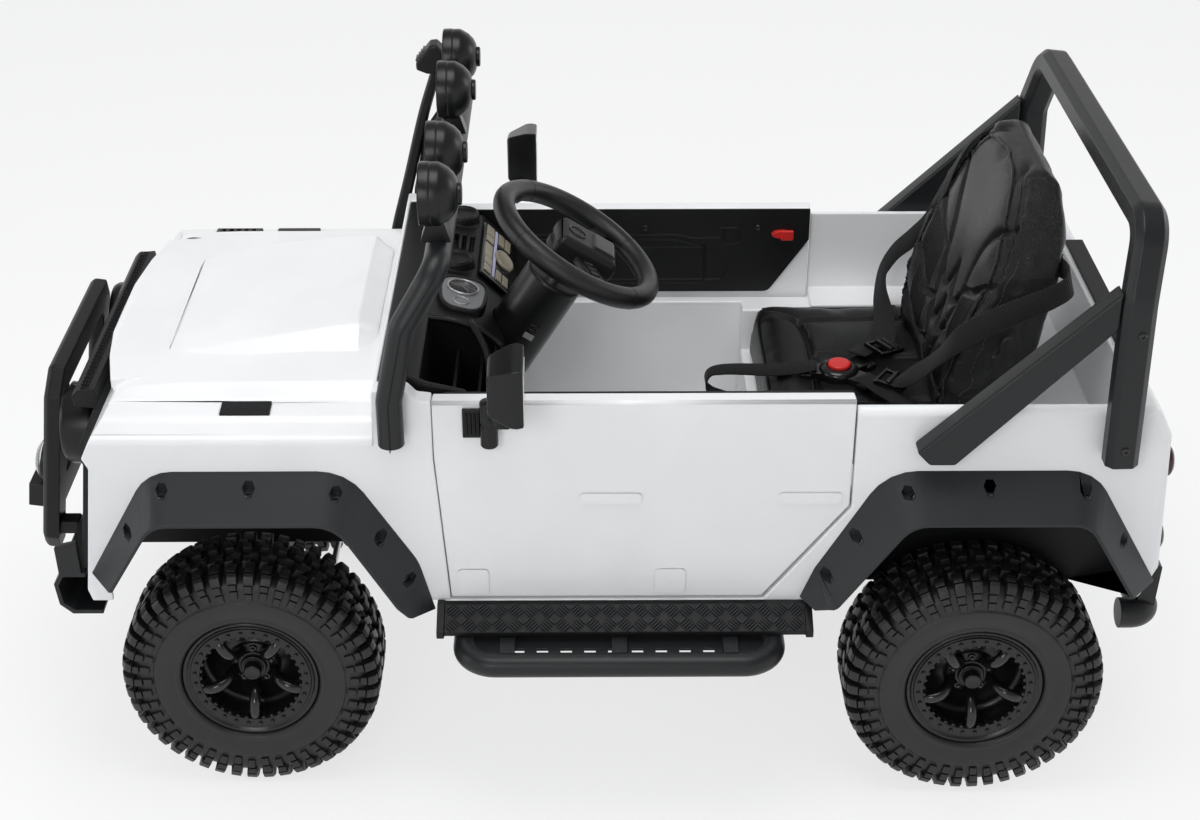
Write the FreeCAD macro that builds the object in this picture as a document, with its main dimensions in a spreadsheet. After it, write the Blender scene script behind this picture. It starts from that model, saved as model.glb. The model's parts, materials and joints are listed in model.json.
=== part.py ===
import FreeCAD, Part
import math
import os

import Sketcher
from FreeCAD import Placement, Rotation, Vector

# Ride-on electric toy 4x4. Lengths are millimetres. Sizes are given from the middle of the
# wheelbase, +X forward, +Y to the left, +Z up from the floor; origin_shift then moves every
# sub-part so that the origin lies under the middle of the whole length.

SIZES = [
    ("wheelbase", 779),
    ("origin_shift", 33.5),
    ("tyre_radius", 140),
    ("tyre_width", 96),
    ("bead_radius", 73),
    ("body_half", 250),
    ("rear_wheel_inset", 3),
    ("front_wheel_inset", 24),
    ("shell_wall", 5),
    ("sill_bottom", 214),
    ("sill_top", 231),
    ("belt_line", 472),
    ("rear_rim_drop", 10),
    ("rim_flange", 12),
    ("cowl_rise", 13),
    ("cowl_rear", 183),
    ("cowl_front", 243),
    ("bonnet_rise", 4),
    ("bonnet_half", 188),
    ("bonnet_front", 546),
    ("wing_drop", 44),
    ("nose_x", 543),
    ("nose_foot_x", 556),
    ("nose_foot_z", 245),
    ("tail_x", 573),
    ("tail_lean", 8),
    ("door_rear", 247),
    ("door_bottom", 234),
    ("door_bottom_rear", 160),
    ("door_kick", 347),
    ("door_skin", 19.5),
    ("door_panel", 3),
    ("seam", 2),
    ("hinge_seam", 0.8),
    ("inner_sill_top", 355),
    ("sill_inset", 24),
    ("sill_wall", 14),
    ("well_front", 205),
    ("floor_top", 220),
    ("seat_front", 165),
    ("cushion_depth", 62),
    ("seat_rear", 400),
    ("load_deck", 362),
    ("load_rear", 535),
    ("arch_depth", 58),
    ("arch_top", 357),
    ("flare_reach", 42),
    ("flare_wall", 3.5),
    ("axle_radius", 6),
    ("running_fit", 0.05),
    ("kingpin_inset", 41),
    ("kingpin_radius", 6),
    ("steer_arm", 60),
    ("steer_arm_in", 20),
    ("wheel_tilt", 32),
    ("steering_x", 36),
    ("steering_z", 532),
    ("steering_ring", 93),
    ("steering_rim", 12),
    ("screen_tube", 13.5),
    ("screen_top", 617),
    ("screen_top_x", 172),
    ("hoop_depth", 34),
    ("hoop_width", 30),
    ("hoop_edge", 7),
    ("hoop_x", 516),
    ("hoop_top", 660),
    ("roof_lamp_radius", 32),
    ("roof_lamp_z", 677),
    ("headlamp_y", 127),
    ("headlamp_z", 378),
    ("headlamp_radius", 42.5),
    ("lug_count", 40),
    ("lug_depth", 9),
    ("spoke_count", 5),
    ("guard_half", 130),
    ("guard_depth", 19),
    ("guard_x", 616),
    ("guard_foot_z", 226),
    ("guard_lean", 8),
    ("grille_foot", 264),
    ("frame_setback", 12),
    ("soft_gap", 0.3),
]

os.makedirs("parts", exist_ok=True)
doc = FreeCAD.newDocument("ride_on_4x4")
sheet = doc.addObject("Spreadsheet::Sheet", "sizes")


class Dim:
    """A size of the sheet, or a sum of sizes, as a number and as an expression."""

    def __init__(self, number, text):
        self.number = float(number)
        self.text = text

    def __float__(self):
        return self.number

    def __add__(self, other):
        return Dim(self.number + float(other), "(%s + %s)" % (self.text, text_of(other)))

    def __radd__(self, other):
        return Dim(float(other) + self.number, "(%s + %s)" % (text_of(other), self.text))

    def __sub__(self, other):
        return Dim(self.number - float(other), "(%s - %s)" % (self.text, text_of(other)))

    def __rsub__(self, other):
        return Dim(float(other) - self.number, "(%s - %s)" % (text_of(other), self.text))

    def __mul__(self, other):
        return Dim(self.number * float(other), "(%s * %s)" % (self.text, text_of(other)))

    def __rmul__(self, other):
        return Dim(float(other) * self.number, "(%s * %s)" % (text_of(other), self.text))

    def __truediv__(self, other):
        return Dim(self.number / float(other), "(%s / %s)" % (self.text, text_of(other)))

    def __neg__(self):
        return Dim(-self.number, "(0 - %s)" % self.text)


def text_of(size):
    return size.text if isinstance(size, Dim) else "(%.6f)" % float(size)


class Sizes:
    """The driving sizes by name."""


S = Sizes()
for row, (alias, number) in enumerate(SIZES, start=1):
    sheet.set("A%d" % row, alias)
    sheet.set("B%d" % row, str(number))
    sheet.setAlias("B%d" % row, alias)
    setattr(S, alias, Dim(number, "sizes.%s" % alias))
doc.recompute()

S.rear_track_half = S.body_half - S.rear_wheel_inset
S.front_track_half = S.body_half - S.front_wheel_inset
S.kingpin_y = S.front_track_half - S.kingpin_inset
S.inner_sill_outer = S.body_half - S.sill_inset
S.well_half = S.inner_sill_outer - S.sill_wall
S.arch_inner = S.body_half - S.arch_depth
S.flare_lip = S.body_half + S.flare_reach
S.rear_rim = S.belt_line - S.rear_rim_drop
S.cowl_top = S.belt_line + S.cowl_rise
S.bonnet_top = S.belt_line + S.bonnet_rise
S.wing_crease = S.belt_line - S.wing_drop
S.tail_foot_x = S.tail_x + S.tail_lean
S.seat_deck = S.load_deck - S.cushion_depth
S.screen_side = S.body_half + S.screen_tube + 1
S.hoop_side = S.body_half + S.hoop_width / 2 + 1

parts = {}
primitive_x = {}


def bind(item, path, size):
    item.setExpression(path, text_of(size))


def place(item, node):
    """Names a finished sub-part and moves it by the origin's shift."""
    item.Label = node
    bind(item, "Placement.Base.x", primitive_x.get(item.Name, 0) - S.origin_shift)
    parts[node] = item
    return item


def mirrored(source, node):
    """The right-hand twin of a left-hand sub-part."""
    twin = doc.addObject("Part::Mirroring", node + "_twin")
    twin.Source = source
    twin.Base = Vector(0, 0, 0)
    twin.Normal = Vector(0, 1, 0)
    twin.Label = node
    parts[node] = twin
    return twin


def box(name, x, y, z):
    """A block between two corners."""
    solid = doc.addObject("Part::Box", name)
    for side, path, (low, high) in (("Length", "x", x), ("Width", "y", y), ("Height", "z", z)):
        bind(solid, side, high - low)
        bind(solid, "Placement.Base." + path, low)
    primitive_x[name] = x[0]
    return solid


AXES = {"X": Vector(1, 0, 0), "Y": Vector(0, 1, 0), "Z": Vector(0, 0, 1)}


def cylinder(name, start, axis, radius, length):
    """A cylinder from its start point along an axis letter or a vector."""
    solid = doc.addObject("Part::Cylinder", name)
    direction = AXES[axis] if isinstance(axis, str) else axis
    solid.Placement = Placement(Vector(0, 0, 0), Rotation(Vector(0, 0, 1), direction))
    bind(solid, "Radius", radius)
    bind(solid, "Height", length)
    for path, size in zip("xyz", start):
        bind(solid, "Placement.Base." + path, size)
    primitive_x[name] = start[0]
    return solid


def fuse(name, *pieces):
    solid = doc.addObject("Part::MultiFuse", name)
    solid.Shapes = list(pieces)
    return solid


def cut(name, base, *tools):
    solid = doc.addObject("Part::Cut", name)
    solid.Base = base
    solid.Tool = tools[0] if len(tools) == 1 else fuse(name + "_tools", *tools)
    return solid


def common(name, first, second):
    solid = doc.addObject("Part::Common", name)
    solid.Base = first
    solid.Tool = second
    return solid


def flip(name, source):
    """A mirror image used inside one sub-part."""
    twin = doc.addObject("Part::Mirroring", name)
    twin.Source = source
    twin.Normal = Vector(0, 1, 0)
    return twin


PLANES = {"XY": "XY_Plane", "XZ": "XZ_Plane", "YZ": "YZ_Plane"}


def sketch_outline(body, name, plane, points, offset):
    """A closed outline on one of the body's own planes, each corner bound to its sizes."""
    sketch = body.newObject("Sketcher::SketchObject", name)
    origin_plane = [f for f in body.Origin.OriginFeatures if f.Role == PLANES[plane]][0]
    sketch.AttachmentSupport = (origin_plane, [""])
    sketch.MapMode = "FlatFace"
    bind(sketch, "AttachmentOffset.Base.z", offset)
    count = len(points)
    corners = [Vector(float(across), float(up), 0) for across, up in points]
    for i in range(count):
        sketch.addGeometry(Part.LineSegment(corners[i], corners[(i + 1) % count]), False)
    for i in range(count):
        sketch.addConstraint(Sketcher.Constraint("Coincident", i, 2, (i + 1) % count, 1))
    for i, (across, up) in enumerate(points):
        for kind, size in (("DistanceX", across), ("DistanceY", up)):
            rule = sketch.addConstraint(Sketcher.Constraint(kind, -1, 1, i, 1, float(size)))
            if isinstance(size, Dim):
                sketch.setExpression("Constraints[%d]" % rule, size.text)
    return sketch


def prism(name, plane, points, low, high, rounds=()):
    """An outline on XZ, YZ or XY, given its thickness between two places on the third axis.
    rounds lists pairs of corner numbers and the radius of the fillet there."""
    body = doc.addObject("PartDesign::Body", name)
    offset = -high if plane == "XZ" else low
    sketch = sketch_outline(body, name + "_outline", plane, points, offset)
    feature = body.newObject("PartDesign::Pad", name + "_pad")
    feature.Profile = sketch
    bind(feature, "Length", high - low)
    for step, (corners, radius) in enumerate(rounds):
        doc.recompute()
        edges = []
        for number, edge in enumerate(feature.Shape.Edges, start=1):
            a, b = (vertex.Point for vertex in (edge.Vertexes[0], edge.Vertexes[-1]))
            for corner in corners:
                across, up = (float(size) for size in points[corner])
                if plane == "XZ":
                    near = all(math.hypot(p.x - across, p.z - up) < 0.01 for p in (a, b))
                elif plane == "YZ":
                    near = all(math.hypot(p.y - across, p.z - up) < 0.01 for p in (a, b))
                else:
                    near = all(math.hypot(p.x - across, p.y - up) < 0.01 for p in (a, b))
                if near:
                    edges.append("Edge%d" % number)
        fillet = body.newObject("PartDesign::Fillet", "%s_round_%d" % (name, step))
        fillet.Base = (feature, edges)
        bind(fillet, "Radius", radius)
        feature = fillet
    body.Tip = feature
    return body


def rounded_path(points, radius):
    """Straight runs joined by tangent arcs."""
    vectors = [Vector(*(float(size) for size in point)) for point in points]
    edges = []
    start = vectors[0]
    for before, corner, after in zip(vectors, vectors[1:], vectors[2:]):
        into = (corner - before).normalize()
        out = (after - corner).normalize()
        turn = into.getAngle(out)
        reach = radius * math.tan(turn / 2)
        first = corner - into * reach
        last = corner + out * reach
        bisector = (out - into).normalize()
        middle = corner + bisector * (radius / math.cos(turn / 2) - radius)
        if (first - start).Length > 1e-6:
            edges.append(Part.LineSegment(start, first).toShape())
        edges.append(Part.Arc(first, middle, last).toShape())
        start = last
    edges.append(Part.LineSegment(start, vectors[-1]).toShape())
    return Part.Wire(edges)


def tube(name, points, bend, radius):
    """A round bar along a path with bends."""
    spine = doc.addObject("Part::Feature", name + "_line")
    spine.Shape = rounded_path(points, bend)
    start = Vector(*(float(size) for size in points[0]))
    ahead = Vector(*(float(size) for size in points[1])) - start
    ring = doc.addObject("Part::Circle", name + "_ring")
    bind(ring, "Radius", radius)
    ring.Placement = Placement(start, Rotation(Vector(0, 0, 1), ahead))
    sweep = doc.addObject("Part::Sweep", name)
    sweep.Sections = [ring]
    sweep.Spine = (spine, ["Edge%d" % (i + 1) for i in range(len(spine.Shape.Edges))])
    sweep.Solid = True
    sweep.Frenet = False
    return sweep


def bar(name, points, bend, outline, across):
    """A moulded bar along a path with bends; outline gives its section, from the across direction."""
    spine = doc.addObject("Part::Feature", name + "_line")
    spine.Shape = rounded_path(points, bend)
    start = Vector(*(float(size) for size in points[0]))
    ahead = (Vector(*(float(size) for size in points[1])) - start).normalize()
    second = ahead.cross(across).normalize()
    first = second.cross(ahead)
    corners = [start + first * float(u) + second * float(v) for u, v in outline]
    section = doc.addObject("Part::Feature", name + "_section")
    section.Shape = Part.makePolygon(corners + [corners[0]])
    sweep = doc.addObject("Part::Sweep", name)
    sweep.Sections = [section]
    sweep.Spine = (spine, ["Edge%d" % (i + 1) for i in range(len(spine.Shape.Edges))])
    sweep.Solid = True
    sweep.Frenet = False
    return sweep


def eight_sided(depth, width, edge):
    """A rectangle with its corners taken off."""
    u = depth / 2
    v = width / 2
    return [(u, -v + edge), (u, v - edge), (u - edge, v), (-u + edge, v), (-u, v - edge), (-u, -v + edge),
            (-u + edge, -v), (u - edge, -v)]


def flat_faces(corners):
    """One flat face through the corners, or two triangles where they don't lie in a plane."""
    kept = []
    for point in corners:
        if all((point - other).Length > 1e-6 for other in kept):
            kept.append(point)
    if len(kept) < 3:
        return []
    if len(kept) == 4:
        normal = (kept[1] - kept[0]).cross(kept[2] - kept[0]).normalize()
        if abs(normal.dot(kept[3] - kept[0])) > 1e-6:
            return flat_faces([kept[0], kept[1], kept[2]]) + flat_faces([kept[0], kept[2], kept[3]])
    return [Part.Face(Part.makePolygon(kept + [kept[0]]))]


def faceted(name, rings):
    """A closed solid of flat faces between neighbouring rings of points, the last joined to the first.
    A ring may have a third of its neighbour's points, or be one point on the axis."""
    faces = []
    for near, far in zip(rings, rings[1:] + rings[:1]):
        if len(near) == 1 and len(far) == 1:
            continue
        if len(near) == 1 or len(far) == 1:
            ring = far if len(near) == 1 else near
            faces += flat_faces(ring)
            continue
        few, many = (near, far) if len(near) <= len(far) else (far, near)
        share = len(many) // len(few)
        for i in range(len(few)):
            a = few[i]
            b = few[(i + 1) % len(few)]
            row = [many[(i * share + k) % len(many)] for k in range(share + 1)]
            if share == 1:
                faces += flat_faces([a, b, row[1], row[0]])
            else:
                faces += flat_faces([a, row[0], row[1]]) + flat_faces([a, row[1], b])
                faces += flat_faces([b, row[1], row[2]]) + flat_faces([b, row[2], row[3]])
    shell = Part.makeShell(faces)
    shell.sewShape()
    body = Part.makeSolid(Part.Shell(shell.Faces))
    if body.Volume < 0:
        body.reverse()
    solid = doc.addObject("Part::Feature", name)
    solid.Shape = body
    return solid


def ring_points(radius, station, sides, axis="Y", centre=(0, 0, 0)):
    """Evenly spaced points of one ring round an axis through the centre."""
    cx, cy, cz = (float(size) for size in centre)
    if float(radius) == 0:
        sides = 1
    result = []
    for i in range(sides):
        angle = 2 * math.pi * i / sides
        across = float(radius) * math.sin(angle)
        up = float(radius) * math.cos(angle)
        along = float(station)
        if axis == "Y":
            result.append(Vector(cx + across, cy + along, cz + up))
        elif axis == "Z":
            result.append(Vector(cx + up, cy + across, cz + along))
        else:
            result.append(Vector(cx + along, cy - across, cz + up))
    return result


def turned(name, points, sides, axis="Y", centre=(0, 0, 0)):
    """A turned piece in flat facets from its (radius, station) profile."""
    return faceted(name, [ring_points(radius, station, sides, axis, centre) for radius, station in points])


def round_end_edges(body, name, keep, radius):
    """Rounds those edges of a body whose two ends keep accepts."""
    doc.recompute()
    feature = body.Tip
    edges = []
    for number, edge in enumerate(feature.Shape.Edges, start=1):
        ends = [vertex.Point for vertex in edge.Vertexes]
        if len(ends) == 2 and all(keep(point) for point in ends):
            edges.append("Edge%d" % number)
    fillet = body.newObject("PartDesign::Fillet", name)
    fillet.Base = (feature, edges)
    bind(fillet, "Radius", radius)
    body.Tip = fillet
    return body


def inset_outline(points, wall, foot):
    """An arch outline moved in by a wall, its two feet run on downwards."""
    flat = [Vector(float(x), float(z), 0) for x, z in points]
    result = []
    for i, point in enumerate(flat):
        before = (point - flat[i - 1]).normalize() if i else None
        after = (flat[i + 1] - point).normalize() if i + 1 < len(flat) else None
        way = before or after
        first = Vector(way.y, -way.x, 0)
        way = after or before
        second = Vector(way.y, -way.x, 0)
        middle = (first + second).normalize()
        moved = point + middle * (float(wall) / middle.dot(first))
        if i == 0:
            moved = moved - after * float(foot)
        if i == len(flat) - 1:
            moved = moved + before * float(foot)
        result.append((moved.x, moved.y))
    return result


def ruled(name, sections):
    """A solid between closed outlines with as many corners each."""
    solid = doc.addObject("Part::Feature", name)
    wires = []
    for section in sections:
        points = [Vector(*(float(size) for size in point)) for point in section]
        wires.append(Part.makePolygon(points + [points[0]]))
    solid.Shape = Part.makeLoft(wires, True, True)
    return solid


def arc_corners(points, radii, steps=4):
    """Corner points of an outline with its corners rounded by short chords."""
    result = []
    count = len(points)
    flat = [Vector(float(across), float(up), 0) for across, up in points]
    for i in range(count):
        radius = radii.get(i, 0)
        corner = flat[i]
        if not radius:
            result.append((corner.x, corner.y))
            continue
        into = (corner - flat[i - 1]).normalize()
        out = (flat[(i + 1) % count] - corner).normalize()
        turn = into.getAngle(out)
        reach = radius * math.tan(turn / 2)
        first = corner - into * reach
        last = corner + out * reach
        centre = corner + (out - into).normalize() * (radius / math.cos(turn / 2))
        for k in range(steps + 1):
            share = k / steps
            chord = first + (last - first) * share
            spoke = (chord - centre).normalize()
            point = centre + spoke * radius
            result.append((point.x, point.y))
    return result


front_axle_x = S.wheelbase / 2
rear_axle_x = -S.wheelbase / 2
axle_z = S.tyre_radius


# White body tub: floor, seat box, load bed, sills and rear quarters
def body_tub():
    side = prism("tub_side", "XZ", [
        (S.cowl_rear, S.sill_bottom), (S.cowl_rear, S.sill_top),
        (-S.door_bottom_rear - S.seam, S.sill_top), (-S.door_rear - S.seam, S.door_kick - S.seam),
        (-S.door_rear - S.seam, S.rear_rim), (-S.tail_x + 17, S.rear_rim),
        (-S.tail_x, S.rear_rim - 34), (-S.tail_foot_x, 266), (-S.tail_x + 8, 227), (-500, S.sill_bottom),
    ], -S.body_half, S.body_half, [((5,), 12), ((8,), 10)])
    tail = -float(S.tail_x) + 18
    round_end_edges(side, "tub_corner", lambda p: abs(abs(p.y) - float(S.body_half)) < 0.01 and (
        p.x < tail and p.z > 230), 9)
    middle = box("tub_middle", (-S.door_rear - S.seam - 1, S.well_front + S.shell_wall),
                 (-S.inner_sill_outer, S.inner_sill_outer), (S.sill_bottom, S.inner_sill_top))
    well = box("tub_well", (-S.seat_front, S.well_front), (-S.well_half, S.well_half),
               (S.floor_top, S.inner_sill_top + 50))
    inner = S.arch_inner - S.shell_wall + 1
    wide = S.body_half - S.rim_flange
    seat = box("tub_seat_space", (-S.seat_rear, -S.seat_front + 1), (-inner, inner),
               (S.seat_deck, S.load_deck + 10))
    bed = box("tub_load_space", (-S.load_rear, -200), (-wide, wide), (S.load_deck, S.belt_line + 30))
    shelf = box("tub_seat_shelf", (-S.seat_rear - 37, -S.seat_rear + 1), (-wide, wide),
                (S.load_deck - 2, S.load_deck + 10))
    under_seat = box("tub_under_seat", (-S.seat_rear + S.shell_wall, -S.seat_front - S.shell_wall - 1),
                     (-inner + 7, inner - 7), (S.sill_bottom - 10, S.seat_deck - S.shell_wall))
    under_bed = box("tub_under_bed", (-S.tail_x + 12, -S.seat_rear - 1), (-inner, inner),
                    (S.sill_bottom - 20, S.load_deck - S.shell_wall))
    arch = prism("tub_arch", "XZ", rear_arch_outline(), S.arch_inner, S.body_half + 1)
    shell = cut("tub_shell", fuse("tub_blank", side, middle), well, seat, bed, shelf, under_seat, under_bed,
                arch, flip("tub_arch_right", arch))
    return place(shell, "body_tub")


def rear_arch_outline():
    return [
        (-212, S.sill_bottom - 14), (-212, 240), (-225, 252), (-262, 298), (-300, 347), (-335, S.arch_top),
        (-470, S.arch_top), (-497, 345), (-536, 285), (-556, 256), (-556, S.sill_bottom - 14),
    ]


def front_arch_outline():
    return [
        (212, S.sill_bottom - 14), (212, 245), (250, 309), (290, 350), (326, S.arch_top + 1),
        (450, S.arch_top + 1), (474, 348), (492, 325), (521, 284), (530, 268), (530, S.sill_bottom - 14),
    ]


# White front shell: bonnet, wings, cowl and engine-bay bulkhead
def front_shell():
    side = prism("nose_side", "XZ", [
        (171, S.sill_top), (S.cowl_rear, 405), (S.cowl_rear, S.belt_line), (198, S.belt_line + 2),
        (208, S.cowl_top), (S.cowl_front - 1, S.cowl_top), (S.cowl_front + 1, S.bonnet_top - 1),
        (500, 459), (516, 451), (532, 429), (S.nose_x, 406), (S.nose_x - 6, 394),
        (S.nose_foot_x, S.nose_foot_z), (S.nose_foot_x - 4, S.sill_top),
    ], -S.body_half, S.body_half, [((7,), 30), ((8,), 20), ((9,), 40), ((4,), 8)])
    wings = prism("nose_section", "YZ", section_of_nose(0), S.cowl_front - 1, S.nose_foot_x + 10,
                  [((1, 12), 20), ((2, 11), 20), ((3, 10), 14), ((4, 9), 14)])
    cowl = box("nose_cowl", (160, S.cowl_front), (-S.body_half, S.body_half),
               (S.sill_top - 10, S.cowl_top + 5))
    blank = common("nose_blank", side, fuse("nose_sections", wings, cowl))
    hollow_side = prism("nose_hollow_side", "XZ", [
        (S.cowl_front, S.sill_top - 10), (S.cowl_front, S.bonnet_top - 8), (497, 452), (511, 443),
        (524, 422), (534, 404), (529, 391), (S.nose_foot_x - 8, 244), (S.nose_foot_x - 10, S.sill_top - 10),
    ], -S.body_half, S.body_half)
    hollow_section = prism("nose_hollow_section", "YZ", section_of_nose(S.shell_wall),
                           S.cowl_front, S.nose_foot_x)
    hollow = common("nose_hollow", hollow_side, hollow_section)
    cabin = box("nose_cabin", (150, S.cowl_front - S.shell_wall), (-S.body_half + 22, S.body_half - 22),
                (S.sill_top - 20, S.cowl_top + 20))
    arch = prism("nose_arch", "XZ", front_arch_outline(), S.arch_inner, S.body_half + 1)
    mouth = box("nose_mouth", (S.nose_x - 22, S.nose_x + 30), (-S.body_half + 25, S.body_half - 25),
                (262, 428))
    blank_with_bulge = fuse("nose_with_bulge", blank, bonnet_bulge(), bonnet_lip())
    shell = cut("nose_shell", blank_with_bulge, hollow, cabin, arch, flip("nose_arch_right", arch), mouth,
                *vent_plates("nose_vent"))
    return place(shell, "front_shell")


def section_of_nose(inset):
    """Half section across the bonnet and wings, mirrored; inset gives the inside of the wall."""
    half = S.body_half - inset
    top = S.bonnet_top - inset
    right = [
        (half, S.sill_top - 20), (half, S.wing_crease - inset), (half - 16, S.wing_crease + 18 - inset),
        (half - 45, S.wing_crease + 21 - inset), (S.bonnet_half, top - 13), (S.bonnet_half - 38, top - 6),
        (60, top),
    ]
    return right + [(-across, up) for across, up in reversed(right)]


def bonnet_bulge():
    stations = ((471, 122, 112, 461), (430, 135, 118, 470), (380, 145, 118, 480), (300, 152, 112, 491),
                (268, 150, 108, 493), (248, 146, 100, 476))
    low = 459
    sections = []
    for x, base, top, high in stations:
        soft = min(4, (high - low) / 2)
        half = [(base, low), (top + soft, high - soft / 2), (top - 2 * soft, high)]
        sections.append([(x, y, z) for y, z in half] + [(x, -y, z) for y, z in reversed(half)])
    return ruled("bonnet_bulge", sections)


def bonnet_lip():
    """The bonnet's front edge, bowed in plan, standing out over the grille."""
    half = S.bonnet_half - 14
    front = S.bonnet_front
    plan = prism("lip_plan", "XY", [
        (480, -half), (front - 24, -half), (front - 12, -120), (front - 3, -60), (front, 0),
        (front - 3, 60), (front - 12, 120), (front - 24, half), (480, half),
    ], 440, 470)
    side = prism("lip_side", "XZ", [
        (480, 453), (480, 460.2), (front - 12, 458.5), (front - 3, 455), (front, 449),
        (front - 2, 446), (505, 446),
    ], -half, half, [((2,), 14)])
    return common("bonnet_lip", plan, side)


def vent_plates(name):
    """Mesh plates on both wings and the louvred vent on the right one, each let into the wing."""
    inner = S.body_half - 43
    outer = S.body_half - 21
    fall = 3 / 29
    low = S.wing_crease + 20.8
    section = [(inner, low - 4), (outer, low - 4 - 22 * fall), (outer, low + 1.6 - 22 * fall),
               (inner, low + 1.6)]
    other = [(-across, up) for across, up in section]
    return [prism(name + "_left", "YZ", section, 350, 401), prism(name + "_right", "YZ", other, 350, 401),
            prism(name + "_louvre", "YZ", other, 420, 475)]


def wing_vents():
    plates = vent_plates("vent_plate")
    grooves = []
    for number in range(5):
        at = 428 + number * 9
        grooves.append(box("louvre_%d" % number, (at, at + 4.5), (-S.body_half + 24, -S.body_half + 40),
                           (S.wing_crease + 17.4, S.wing_crease + 30)))
    louvre = cut("vent_louvre", plates[2], *grooves)
    place(fuse("vent_set", plates[0], plates[1], louvre), "wing_vents")


# Black grille panel over the nose, with headlamp holes and slots
def grille_panel():
    slope = (S.nose_foot_x - S.nose_x + 6) / (394 - S.nose_foot_z)
    foot = S.nose_foot_x - (S.grille_foot - S.nose_foot_z) * slope
    plate = prism("grille_plate", "XZ", [
        (532, 429), (S.nose_x, 406), (S.nose_x - 6, 394), (foot, S.grille_foot),
        (foot + 8, S.grille_foot), (S.nose_x + 2, 392), (S.nose_x + 8, 406), (540, 431),
    ], -S.body_half + 12, S.body_half - 12)
    wide = S.body_half - 12
    front = prism("grille_front", "YZ", [
        (-wide, 250), (wide, 250), (wide, 396), (wide - 28, 414), (S.bonnet_half - 8, 440),
        (-S.bonnet_half + 8, 440), (-wide + 28, 414), (-wide, 396),
    ], 515, 590)
    tools = []
    for row in range(5):
        low = 285 + row * 20
        tools.append(box("grille_slot_%d" % row, (520, 580), (-80, 80), (low, low + 11)))
    for hand in (-1, 1):
        tools.append(cylinder("lamp_hole_%d" % (hand + 1), (515, hand * S.headlamp_y, S.headlamp_z), "X",
                              S.headlamp_radius - 7 + S.soft_gap, 70))
    rail = S.bonnet_half - 16
    top_rail = prism("grille_rail", "XZ", [
        (538, 426), (541, 445), (560, 443.5), (566, 437), (564, 425), (545, 422),
    ], -rail, rail)
    posts = [box("grille_post_%d" % number, (548, 557), (y - 5, y + 5), (276, 424))
             for number, y in enumerate((-76, -26, 26, 76))]
    panel = cut("grille_cut", common("grille_blank", plate, front), *tools)
    return place(fuse("grille_set", panel, top_rail, *posts), "grille_panel")


def headlamps():
    pieces = []
    radius = S.headlamp_radius
    for hand in (-1, 1):
        pieces.append(turned("lamp_bowl_%d" % (hand + 1), [
            (0, 534), (radius - 7, 534), (radius - 7, 553), (radius - 1, 553), (radius, 557), (radius, 580),
            (radius - 3, 586), (radius - 9, 587), (radius - 9, 579), (radius - 16, 582), (0, 585),
        ], 36, "X", (0, hand * S.headlamp_y, S.headlamp_z)))
    return place(fuse("headlamp_set", *pieces), "headlamps")


# Flares over the wheel arches
def flare(node, mount, lip, mount_radii, lip_radii, notches):
    top = arc_corners(mount, mount_radii)
    edge = arc_corners(lip, lip_radii)
    outer = ruled(node + "_outer", [
        [(x, S.body_half, z) for x, z in top], [(x, S.flare_lip, z) for x, z in edge],
    ])
    under = inset_outline(top, S.flare_wall, 14)
    inside = inset_outline(edge, S.flare_wall, 14)
    ends = []
    for share in (-0.05, 1.05):
        ends.append([(a[0] + (b[0] - a[0]) * share, S.body_half + S.flare_reach * share,
                      a[1] + (b[1] - a[1]) * share) for a, b in zip(under, inside)])
    opening = ruled(node + "_opening", ends)
    wall = cut(node + "_wall", outer, opening)
    bosses = []
    pockets = []
    for number, (x, z) in enumerate(notches):
        boss = doc.addObject("Part::Prism", "%s_boss_%d" % (node, number))
        pocket = doc.addObject("Part::Prism", "%s_pocket_%d" % (node, number))
        for item, size, start in ((boss, 9.5, 0), (pocket, 6.5, 5)):
            item.Polygon = 6
            item.Circumradius = size
            item.Height = 30
            item.Placement = Placement(Vector(x, 0, z), Rotation(Vector(0, 0, 1), Vector(0, 1, 0)))
            bind(item, "Placement.Base.y", S.body_half + start)
        bosses.append(boss)
        pockets.append(pocket)
    pads = common(node + "_pads", outer, fuse(node + "_bosses", *bosses))
    left = cut(node + "_cut", fuse(node + "_shell", wall, pads), *pockets)
    return place(fuse(node + "_pair", left, flip(node + "_twin", left)), node)


def flares():
    flare("front_flares", [(187, 219), (203, 281), (272, 392), (478, 392), (549, 267)],
          [(208, 236), (222, 250), (282, 352), (472, 352), (522, 270)],
          {1: 60, 2: 55, 3: 45}, {1: 12, 2: 40, 3: 30},
          [(212, 268), (240, 320), (283, 373), (372, 379), (461, 377), (500, 330)])
    flare("rear_flares", [(-577, 252), (-498, 390), (-283, 390), (-214, 270), (-200, 233)],
          [(-545, 258), (-490, 350), (-306, 350), (-234, 248), (-212, 244)],
          {1: 50, 2: 55, 3: 30}, {1: 30, 2: 35, 3: 8},
          [(-534, 312), (-488, 374), (-388, 378), (-304, 372), (-254, 318), (-226, 270)])


# Dark liners inside the wheel arches
def arch_liners():
    pieces = []
    for name, outline in (("front", front_arch_outline()), ("rear", rear_arch_outline())):
        middle = sum(float(x) for x, z in outline) / len(outline)
        inner = [(x + (4 if float(x) < middle else -4), z - 4) for x, z in outline]
        outer = [(x + (0.4 if float(x) < middle else -0.4), z - 0.4) for x, z in outline]
        strip = outer[1:-1] + list(reversed(inner[1:-1]))
        liner = prism("liner_" + name, "XZ", strip, S.arch_inner + 1, S.body_half - 6)
        pieces += [liner, flip("liner_%s_right" % name, liner)]
    return place(fuse("liner_set", *pieces), "arch_liners")


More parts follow.
